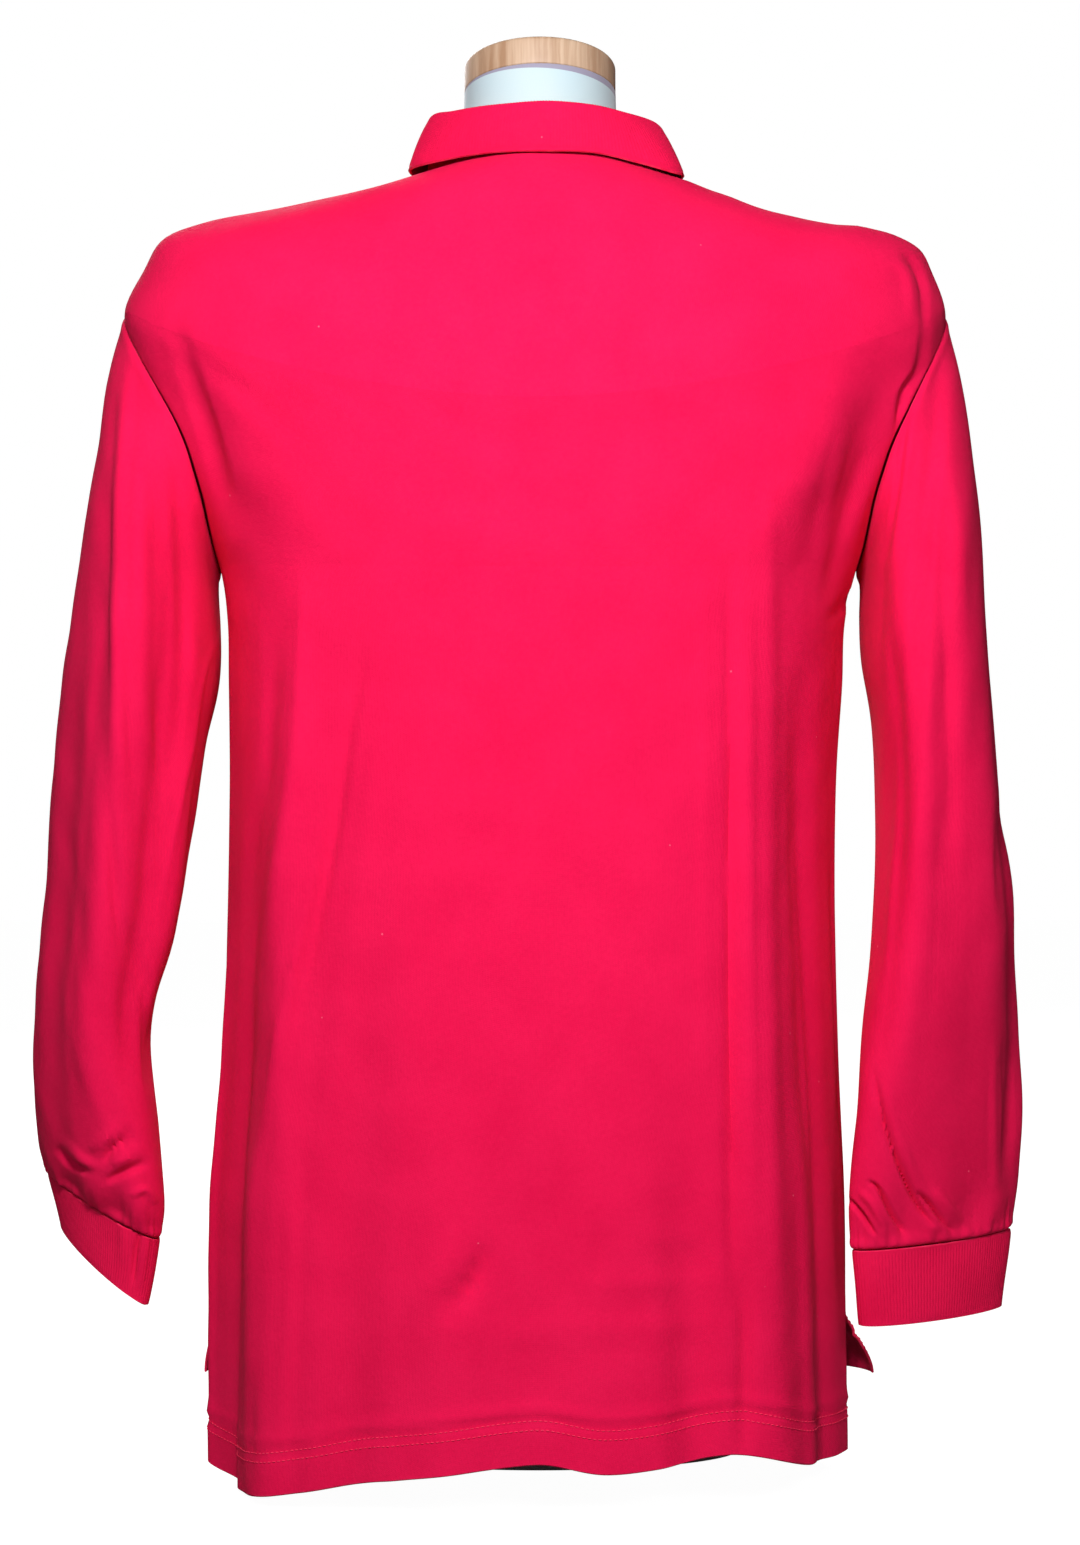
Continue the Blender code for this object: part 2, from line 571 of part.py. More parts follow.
def make_buttons(collection):
    """Turned discs with a raised rim, which stand on the upper band."""
    radius, height = BUTTON_RADIUS, BUTTON_HEIGHT
    profile = [
        (0.0, height * 0.62),
        (radius * 0.55, height * 0.62),
        (radius * 0.72, height),
        (radius * 0.92, height * 0.92),
        (radius, height * 0.55),
        (radius * 0.85, 0.0),
        (0.0, 0.0),
    ]
    for number, row in enumerate(BUTTON_ROWS, 1):
        mesh = bmesh.new()
        points = [mesh.verts.new(Vector((x, 0, z)) * MM) for x, z in profile]
        for start, end in zip(points, points[1:]):
            mesh.edges.new((start, end))
        angle, at = np.array(math.pi / 2), np.array(row)
        normal = shirt_normals(angle, at, FRONT)
        place = shirt(angle, at, FRONT) + normal * (2 * SEAM_GAP + CLOTH + 0.1)
        place = place + np.array([0, 0, HANG])
        button = mesh_object(f"button_{number}", mesh, BUTTON_RED, collection, place)
        turn = button.modifiers.new("turned", "SCREW")
        turn.steps = turn.render_steps = 14
        turn.use_merge_vertices = True
        turn.merge_threshold = 0.00001
        turn.use_smooth_shade = True
        button.rotation_mode = "QUATERNION"
        button.rotation_quaternion = Vector(normal).to_track_quat("Z", "Y")


def collar_stations():
    """(angle, side, degrees from the centre back) round the neckline, from the left front end over the
    back to the right front end."""
    front, half = panel_grid(FRONT)[0][0], ACROSS_PANEL // 2
    left = [float(angle_at(COLLAR_END_X, 0)), *front[half - 1 : 0 : -1]]
    right = [*front[-2:half:-1], float(angle_at(-COLLAR_END_X, 0))]
    stations = [(angle, FRONT, 90 + math.degrees(angle)) for angle in left]
    for angle in panel_grid(BACK)[0][0]:
        stations.append((angle, BACK, abs(90 - math.degrees(angle))))
    stations += [(angle, FRONT, 270 - math.degrees(angle)) for angle in right]
    return stations


def point_on(angle, row, side):
    return shirt(np.array(angle), np.array(row), side)


def collar_line(angle, side, degrees):
    """The collar's inner face at one station, from the neck seam over the fold to the leaf's edge."""
    rows = COLLAR["left" if angle < math.pi / 2 else "right"]

    def value(name):
        return float(column_by(rows, "degrees", name, degrees))

    seam = point_on(angle, 0.0, side)
    normal = shirt_normals(np.array(angle), np.array(0.0), side)
    along = unit(seam - point_on(angle, 0.05, side))
    around = point_on(angle + 0.01, 0.0, side) - point_on(angle - 0.01, 0.0, side)
    out = unit(np.cross(around * np.array([1, 1, 0]), [0, 0, 1])) * side
    foot = seam + along * SEAM_GAP
    up = np.array([0, 0, 1.0])
    stand, lean = value("stand"), value("lean")
    rise = stand - COLLAR_FOLD
    base = foot - normal * CLOTH
    line = [base + (out * lean + up * rise) * t for t in (0.0, 0.45, 1.0)]
    top = line[-1]
    for turn in (50, 90, 130, 165):
        a = math.radians(turn)
        line.append(top + out * (COLLAR_FOLD * (1 - math.cos(a))) + up * (COLLAR_FOLD * math.sin(a)))
    sweep = math.radians(value("sweep")) * (1 if angle < math.pi / 2 else -1)
    edge_angle = min(max(angle - sweep, 0.0), math.pi) if side == FRONT else angle
    edge_row = value("edge_row")
    edge = point_on(edge_angle, edge_row, side)
    edge = edge + shirt_normals(np.array(edge_angle), np.array(edge_row), side) * value("lift")
    start = line[-1]
    pull = start + (edge - start) * 0.4 + out * 2.5
    for t in (0.3, 0.65, 1.0):
        line.append(start * (1 - t) ** 2 + pull * 2 * t * (1 - t) + edge * t**2)
    return np.array(line), normal


def make_collar(collection):
    """One ribbed wall: it stands up from the neck seam, folds over and falls on the shoulders."""
    faces, seam_normals = zip(*[collar_line(*station) for station in collar_stations()])
    face = np.array(faces)
    along = np.gradient(face, axis=1)
    around = np.gradient(face, axis=0)
    normals = unit(np.cross(around, along))
    if (normals[:, 0] * np.array(seam_normals)).sum() < 0:
        normals = -normals
    normals[:, 0] = seam_normals
    mesh = wall_mesh(face + normals * RIB, face)
    mesh_object("collar", mesh, RED_RIB, collection)


def make_sleeve(side, collection):
    """A sleeve and its cuff."""
    turns = np.linspace(0, 2 * np.pi, AROUND_SLEEVE, endpoint=False)
    last = len(SLEEVES[side]) - 1
    rows = np.array([0, 0.4, 0.9, 1.5, 2.3, 3.3, 4.4, 5.5, 6.6, 7.6, 8.5, 9.1, 9.55, last])
    turn, row = np.meshgrid(turns, rows)
    outer = sleeve(side, turn, row)
    normals = -normals_of(lambda t, r: sleeve(side, t, r), turn, row, last)
    wall(
        f"{side}_sleeve",
        mirrored(outer, side),
        mirrored(normals, side),
        CLOTH,
        RED_KNIT,
        collection,
        closed=True,
    )
    rings = CUFFS[side]
    turn, row = np.meshgrid(turns, np.linspace(0, len(rings) - 1, 4))
    outer = sleeve_ring(rings, turn, row)
    normals = -normals_of(lambda t, r: sleeve_ring(rings, t, r), turn, row, len(rings) - 1)
    outer[..., 2] -= SEAM_GAP
    wall(
        f"{side}_cuff",
        mirrored(outer, side),
        mirrored(normals, side),
        RIB,
        RED_RIB,
        collection,
        closed=True,
    )


def form_rings():
    """Rings of the form's skin, from the neck's top down to its flat bottom."""
    around = np.linspace(0, 2 * np.pi, FORM_AROUND, endpoint=False)
    side = np.where(np.sin(around) >= 0, BACK, FRONT)
    angle = np.where(side == BACK, around, 2 * np.pi - around)
    rings = []
    for row in NECK:
        x, y = row.radius_x * np.cos(around), row.radius_y * np.sin(around)
        rings.append(np.stack([x, row.centre_y + y, row.z + y * math.tan(NECK_LEAN)], -1))
    rows = [0, 0.5, 1.2, 2, 3, 4, 4.8, 5.5, 6.2, 7, 8, 9.5, 11, 12.5, 14, 15.5, 17, 18.5, 19.6]
    for at in rows:
        row = np.full(angle.shape, at)
        across = np.sin(angle) ** 2
        ring = np.zeros((len(around), 3))
        for half in (BACK, FRONT):
            end = column_by(FORM, "row", "back" if half == BACK else "front", at)
            inside = column_by(FORM, "row", "side", at) * (1 - across) + end * across
            points = body(angle, row, half) - outward(angle, row, half) * (CLOTH + inside)[:, None]
            ring = np.where((side == half)[:, None], points, ring)
        if at == 0:
            hollow = (rings[-1] + ring) / 2
            rings.append(hollow * np.array([0.93, 0.94, 1]))
        rings.append(ring)
    bottom = rings[-1] * np.array([0.9, 0.9, 0]) + np.array([0, 0, FORM_BOTTOM_Z])
    rings.append(rings[-1] * np.array([0.97, 0.97, 0]) + np.array([0, 0, FORM_BOTTOM_Z + 8]))
    rings.append(bottom)
    return rings


def make_form(collection):
    """The form's body and neck, its wooden cap, and the post and plate that it stands on."""
    mesh = bmesh.new()
    rings = [[mesh.verts.new(Vector(point) * MM) for point in ring] for ring in form_rings()]
    for upper, lower in zip(rings, rings[1:]):
        for i in range(FORM_AROUND):
            j = (i + 1) % FORM_AROUND
            mesh.faces.new([upper[i], lower[i], lower[j], upper[j]])
    mesh.faces.new(rings[0])
    mesh.faces.new(rings[-1])
    bmesh.ops.recalc_face_normals(mesh, faces=mesh.faces)
    mesh_object("form_body", mesh, FORM_CLOTH, collection)
    top = NECK[0]
    mesh = bmesh.new()
    bmesh.ops.create_cone(
        mesh,
        cap_ends=True,
        segments=40,
        radius1=CAP_RADIUS * MM,
        radius2=CAP_RADIUS * MM,
        depth=CAP_HEIGHT * MM,
    )
    lean = Vector((0, -math.sin(NECK_LEAN), math.cos(NECK_LEAN)))
    seat = Vector((0, top.centre_y, top.z + HANG)) + lean * (SEAM_GAP + CAP_HEIGHT / 2)
    cap = mesh_object("neck_cap", mesh, PALE_WOOD, collection, seat)
    cap.rotation_euler = (NECK_LEAN, 0, 0)
    round_edges(cap, CAP_ROUND)
    mesh = bmesh.new()
    bmesh.ops.create_cone(
        mesh, cap_ends=True, segments=48, radius1=1, radius2=1, depth=BASE_HEIGHT * MM
    )
    size = Vector((BASE_HALF_WIDTH * MM, BASE_HALF_DEPTH * MM, 1))
    bmesh.ops.scale(mesh, vec=size, verts=mesh.verts)
    place = (0, BASE_CENTRE_Y, BASE_HEIGHT / 2)
    mesh_object("base_plate", mesh, WHITE_PAINT, collection, place)
    low, high = BASE_HEIGHT + SEAM_GAP, FORM_BOTTOM_Z + HANG - SEAM_GAP
    mesh = bmesh.new()
    bmesh.ops.create_cone(
        mesh,
        cap_ends=True,
        segments=24,
        radius1=POST_RADIUS * MM,
        radius2=POST_RADIUS * MM,
        depth=(high - low) * MM,
    )
    place = (0, POST_CENTRE_Y, (low + high) / 2)
    mesh_object("base_post", mesh, WHITE_PAINT, collection, place)


def round_edges(thing, width):
    """Rounds an object's sharp edges."""
    bevel = thing.modifiers.new("rounded edges", "BEVEL")
    bevel.width = width * MM
    bevel.segments = 2
    bevel.limit_method = "ANGLE"
    bevel.angle_limit = math.radians(50)


def main():
    clear_scene()
    collection = bpy.data.collections.new("long_sleeve_polo_shirt_on_dress_form")
    bpy.context.scene.collection.children.link(collection)
    make_panel("back_panel", BACK, collection)
    make_panel("front_panel", FRONT, collection)
    make_placket(collection)
    make_buttons(collection)
    make_collar(collection)
    for side in ("left", "right"):
        make_sleeve(side, collection)
    make_form(collection)


main()
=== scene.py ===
"""Looks of a long sleeve polo shirt on a limbless dress form, seen from behind.

Every cloth piece is a thin shell on the form of its CAD solid, worked out by the same functions from the
same tables in millimetres, with finer creases, seams, ribs and stitches.
"""

import math
from collections import namedtuple

import bmesh
import bpy
import numpy as np
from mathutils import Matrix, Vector


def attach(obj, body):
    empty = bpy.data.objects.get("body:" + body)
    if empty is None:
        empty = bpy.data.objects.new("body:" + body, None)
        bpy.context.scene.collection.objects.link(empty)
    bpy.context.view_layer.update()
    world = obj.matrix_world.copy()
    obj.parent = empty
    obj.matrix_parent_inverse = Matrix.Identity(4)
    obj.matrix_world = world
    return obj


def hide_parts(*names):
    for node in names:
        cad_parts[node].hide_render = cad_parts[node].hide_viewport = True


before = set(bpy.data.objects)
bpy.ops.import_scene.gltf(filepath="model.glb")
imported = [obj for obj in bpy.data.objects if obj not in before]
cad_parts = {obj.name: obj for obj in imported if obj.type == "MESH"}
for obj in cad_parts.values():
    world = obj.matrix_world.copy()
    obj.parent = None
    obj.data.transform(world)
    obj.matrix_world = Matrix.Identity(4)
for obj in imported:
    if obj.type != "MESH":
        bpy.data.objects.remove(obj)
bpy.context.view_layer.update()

MM = 0.001
CLOTH = 1.6
RIB = 2.0
SEAM_GAP = 0.3
HANG = 11  # the tables' heights are raised by this
ARMHOLE_TOP, ARMPIT, VENT_TOP, HEM = 7.0, 12.0, 20.0, 21.0
ARMHOLE_ANGLE = math.radians(29)
EDGE_REACH = math.radians(68)
BACK, FRONT = 1, -1

# The camera, in metres, and the photograph's frame
CAMERA_Y, CAMERA_Z = 1.62, 0.425
PIXELS_WIDE, PIXELS_HIGH = 1080, 1545
PIXELS_PER_SLOPE = 2645.0

BodyRow = namedtuple(
    "BodyRow", "half_width shift_x tilt side_y side_z back_y back_z front_y front_z square"
)
BODY = [
    BodyRow(72, -3, 0, -2, 776, 66, 780, -80, 707, 0.00),
    BodyRow(105, -1.5, 0.8, -2, 766.3, 79, 766, -92, 688, 0.01),
    BodyRow(140, 0, 3, -2, 757, 91, 747, -103, 667, 0.02),
    BodyRow(175, 0, 3.6, -2, 750.2, 101, 726, -113, 645, 0.03),
    BodyRow(206, 0, 2.2, -2, 746, 109, 702, -120, 622, 0.04),
    BodyRow(230, 0, 2.2, -2, 736.5, 115, 677, -126, 599, 0.05),
    BodyRow(240.5, 1, 1, -2, 719, 119, 652, -131, 577, 0.06),
    BodyRow(250, 3, 0, -2, 696, 121, 627, -134, 557, 0.06),
    BodyRow(248, 2, 0, -2, 672, 122, 605, -136, 543, 0.06),
    BodyRow(239, 1, 0, -2, 643, 123, 585, -137, 530, 0.06),
    BodyRow(224, 1, 0, -1, 608, 123, 567, -138, 519, 0.06),
    BodyRow(207, 1, 0, -1, 573, 123, 551, -139, 509, 0.06),
    BodyRow(194, 1, 0, 0, 538, 122, 531, -140, 497, 0.06),
    BodyRow(188.2, 2.3, 0, 0, 505, 121, 502, -140, 480, 0.06),
    BodyRow(187.2, 2.8, 0, 0, 465, 120, 463, -140, 452, 0.05),
    BodyRow(185.3, 4.2, 0, 0, 415, 119, 415, -139, 410, 0.05),
    BodyRow(185.1, 5.1, 0, 0, 358, 119, 358, -138, 357, 0.05),
    BodyRow(186.1, 5.4, 0, 0, 300, 120, 300, -138, 300, 0.05),
    BodyRow(188.1, 5.4, 0, 0, 230, 122, 230, -139, 230, 0.05),
    BodyRow(192.2, 6.2, 0, 0, 155, 124, 155, -141, 155, 0.06),
    BodyRow(192.5, 6, 0, 0, 88, 126, 88, -142, 88, 0.06),
    BodyRow(192, 5, 0, 0, 22, 128, 18, -143, 44, 0.06),
]
Fold = namedtuple("Fold", "angle_top angle_low row_top row_low width height fade_top fade_low")
FOLDS = {
    BACK: [
        Fold(48, 40, 11.5, 22, 9, 7.5, 0.45, 0.05),
        Fold(33, 23, 14.5, 22, 8, -8.0, 0.50, 0.05),
        Fold(17, 12, 15.5, 22, 7, 5.5, 0.50, 0.05),
        Fold(62, 58, 15.0, 22, 9, -4.5, 0.60, 0.05),
        Fold(127, 134, 11.5, 22, 9, 6.0, 0.45, 0.05),
        Fold(142, 151, 12.5, 22, 8, -8.0, 0.40, 0.05),
        Fold(158, 164, 14.5, 22, 7, 2.5, 0.50, 0.05),
        Fold(116, 119, 17.5, 22, 7, -7.0, 0.60, 0.05),
        Fold(92, 92, 17.0, 22, 10, -4.5, 0.60, 0.05),
        Fold(76, 76, 17.5, 22, 9, 4.0, 0.60, 0.05),
        Fold(138, 146, 6.5, 13.5, 11, -6.0, 0.40, 0.50),
        Fold(126, 130, 7.0, 14.5, 10, 4.0, 0.45, 0.50),
        Fold(38, 35, 6.5, 12.5, 11, -4.0, 0.40, 0.50),
    ],
    FRONT: [
        Fold(42, 35, 11.5, 22, 9, 7.5, 0.45, 0.05),
        Fold(27, 20, 13.0, 22, 8, -8.0, 0.50, 0.05),
        Fold(62, 56, 13.5, 22, 9, -6.0, 0.50, 0.05),
        Fold(80, 77, 14.5, 22, 9, 5.5, 0.55, 0.05),
        Fold(98, 102, 15.5, 22, 9, -4.5, 0.60, 0.05),
        Fold(116, 121, 13.0, 22, 9, 6.0, 0.50, 0.05),
        Fold(134, 141, 12.5, 22, 8, -8.0, 0.45, 0.05),
        Fold(151, 158, 13.5, 22, 8, 7.0, 0.50, 0.05),
        Fold(140, 145, 6.5, 13.0, 11, -5.0, 0.40, 0.50),
        Fold(40, 35, 6.5, 13.0, 11, -5.0, 0.40, 0.50),
    ],
}
HemPoint = namedtuple("HemPoint", "angle back front")
HEM_LINE = [
    HemPoint(0, 5, 47),
    HemPoint(9, 0, 45),
    HemPoint(18, -5, 42),
    HemPoint(30, -8, 38),
    HemPoint(45, -2, 36),
    HemPoint(64, 11, 39),
    HemPoint(90, 22, 43),
    HemPoint(103, 17, 41),
    HemPoint(117, 21, 38),
    HemPoint(126, 24, 36),
    HemPoint(143, 11, 37),
    HemPoint(163, 6, 42),
    HemPoint(180, 5, 46),
]
Flare = namedtuple("Flare", "left right reach_deg")
VENT_FLARE = {BACK: Flare(0, -1, 14), FRONT: Flare(8, 17, 24)}
SleeveRow = namedtuple("SleeveRow", "outer_x outer_z inner_x inner_z centre_y half_depth turn")
SLEEVES = {
    "left": [
        SleeveRow(250, 698, 194, 538, -2, 60, 0),
        SleeveRow(260, 662, 197, 524, -2, 67, 0),
        SleeveRow(269, 612, 197, 502, 0, 76, -1),
        SleeveRow(279, 553, 196.5, 470, 0, 82, -4),
        SleeveRow(289.5, 490, 204, 430, 0, 81, -8),
        SleeveRow(298.5, 418, 211, 382, 0, 75, -12),
        SleeveRow(304.5, 345, 220, 323, 0, 68, -16),
        SleeveRow(311, 280, 235.5, 258, 2, 61, -22),
        SleeveRow(313.5, 225, 230, 200, 3, 55, -28),
        SleeveRow(311, 187, 226, 158, 4, 50, -36),
        SleeveRow(306, 168, 228, 135, 4, 40, -46),
    ],
    "right": [
        SleeveRow(248, 697, 193, 538, -2, 60, 0),
        SleeveRow(256, 660, 196, 526, -1, 67, 0),
        SleeveRow(263, 608, 196, 508, 0, 76, 0),
        SleeveRow(268.5, 550, 197, 480, 3, 81, -3),
        SleeveRow(273, 487, 202, 440, 5, 80, -8),
        SleeveRow(279, 415, 203, 388, 9, 74, -12),
        SleeveRow(288, 345, 199, 328, 19, 61, -20),
        SleeveRow(292, 280, 192.5, 266, 21.5, 56.5, -30),
        SleeveRow(295, 220, 186, 208, 29, 45, -42),
        SleeveRow(292, 172, 182.5, 163, 33, 37, -48),
        SleeveRow(286, 138, 184, 133, 36, 30, -50),
    ],
}
CUFFS = {
    "left": [
        SleeveRow(306, 167.6, 228, 134.6, 4, 40, -46),
        SleeveRow(301, 151, 231, 114, 5, 38, -47),
        SleeveRow(297, 134, 235, 95, 6, 36, -48),
    ],
    "right": [
        SleeveRow(286, 137.6, 184, 132.6, 36, 30, -50),
        SleeveRow(283, 114, 186, 110, 37, 29, -50),
        SleeveRow(280, 91, 188, 88, 37, 28, -50),
    ],
}
MIRROR_X = {"left": 1, "right": -1}
SleeveFold = namedtuple("SleeveFold", "angle_top angle_low row_top row_low width height")
SLEEVE_FOLDS = {
    "left": [
        SleeveFold(82, 104, 0.6, 8.6, 22, 6.0),
        SleeveFold(118, 142, 1.5, 8.0, 22, -7.0),
        SleeveFold(48, 66, 2.5, 9.4, 22, -4.0),
        SleeveFold(150, 166, 3.5, 7.6, 18, 4.0),
        SleeveFold(245, 232, 1.0, 8.5, 24, -6.0),
        SleeveFold(290, 280, 2.0, 9.2, 22, 5.0),
    ],
    "right": [
        SleeveFold(112, 128, 0.6, 8.0, 20, 6.0),
        SleeveFold(80, 96, 1.2, 7.0, 22, -5.0),
        SleeveFold(52, 60, 3.0, 9.2, 24, 4.0),
        SleeveFold(26, 30, 5.0, 9.4, 18, -3.5),
        SleeveFold(245, 232, 1.0, 8.5, 24, -6.0),
        SleeveFold(290, 300, 2.0, 9.2, 22, 5.0),
    ],
}
GATHERS = 8
GATHER_HEIGHT = 2.2
JOIN_ROWS = 2.2
CollarRow = namedtuple("CollarRow", "degrees stand lean edge_row sweep lift")
COLLAR = {
    "left": [
        CollarRow(0, 28.7, 2.0, 0.36, 0, 3.0),
        CollarRow(28, 28.9, 1.2, 0.34, 0, 3.2),
        CollarRow(48, 31.5, -0.8, 0.50, 0, 4.2),
        CollarRow(66, 35.5, -3.2, 0.46, 0, 5.0),
        CollarRow(90, 36, -7.0, 0.22, 0, 3.6),
        CollarRow(112, 34, -9.0, 0.42, 4, 4.6),
        CollarRow(140, 26, 0.0, 1.55, 8, 5.0),
        CollarRow(172, 13, 3.0, 2.90, 22, 4.4),
    ],
    "right": [
        CollarRow(0, 28.7, 2.0, 0.36, 0, 3.0),
        CollarRow(22, 28.7, 0.8, 0.34, 0, 3.0),
        CollarRow(38, 28.7, -0.8, 0.64, 0, 2.9),
        CollarRow(52, 29.6, -1.8, 0.84, 0, 2.9),
        CollarRow(68, 31.5, -3.6, 0.56, 0, 3.0),
        CollarRow(90, 31.5, -4.8, 0.32, 0, 3.4),
        CollarRow(112, 32, -6.0, 0.46, 4, 4.8),
        CollarRow(140, 26, 0.0, 1.55, 8, 5.0),
        CollarRow(172, 13, 3.0, 2.90, 22, 4.4),
    ],
}
COLLAR_FOLD = 3.4
COLLAR_END_X = 10
PLACKET_WIDTH = 34
PLACKET_ROW_LOW = ARMHOLE_TOP
PLACKET_LAP = 1.5
BUTTON_RADIUS, BUTTON_HEIGHT = 5.75, 2.6
BUTTON_ROWS = [0.75, 3.3, 5.85]
FormRow = namedtuple("FormRow", "row side back front")
FORM = [
    FormRow(0.0, 1.5, 1.6, 1.8),
    FormRow(1.0, 1.2, 1.5, 1.6),
    FormRow(2.0, 1.2, 1.5, 1.6),
    FormRow(3.0, 1.3, 1.5, 1.8),
    FormRow(4.0, 2.4, 1.6, 2.0),
    FormRow(5.0, 7.0, 1.8, 2.8),
    FormRow(6.0, 15.0, 2.2, 4.0),
    FormRow(7.0, 24.0, 3.5, 6.0),
    FormRow(8.0, 32.0, 5.0, 8.0),
    FormRow(9.5, 38.0, 9.0, 11.0),
    FormRow(12.0, 22.0, 13.0, 14.0),
    FormRow(14.0, 30.0, 24.0, 24.0),
    FormRow(15.5, 42.0, 36.0, 32.0),
    FormRow(17.0, 36.0, 30.0, 28.0),
    FormRow(18.5, 27.0, 20.0, 26.0),
    FormRow(19.6, 30.0, 22.0, 30.0),
]
FORM_BOTTOM_Z = 58
NECK_LEAN = math.radians(9)
NeckRow = namedtuple("NeckRow", "z centre_y radius_x radius_y")
NECK = [
    NeckRow(831, -9, 46.5, 46.5),
    NeckRow(816, -7, 47.0, 47.0),
    NeckRow(801, -5, 48.5, 49.5),
    NeckRow(788, -5, 52.0, 54.0),
]
CAP_RADIUS, CAP_HEIGHT = 46.5, 18
BASE_HALF_WIDTH, BASE_HALF_DEPTH, BASE_HEIGHT = 128, 56, 9
BASE_CENTRE_Y = -46
POST_RADIUS, POST_CENTRE_Y = 24, -30

# Finer creases that only the looks have. A stroke follows places of the photograph's frame, in pixels,
# and moves a piece's cloth out (above 0) or in, in millimetres.
Stroke = namedtuple("Stroke", "path width height")
SideTurn = namedtuple("SideTurn", "down left_outer left_inner right_inner right_outer depth")

# How far the back's sides turn away from the camera: pixels of the photograph, and a depth in mm
SIDE_TURNS = [
    SideTurn(540, 232, 262, 802, 842, 0),
    SideTurn(650, 232, 262, 798, 838, 10),
    SideTurn(900, 228, 270, 778, 837, 18),
    SideTurn(1200, 214, 286, 792, 842, 19),
    SideTurn(1400, 212, 280, 802, 848, 14),
    SideTurn(1500, 214, 278, 806, 848, 9),
]

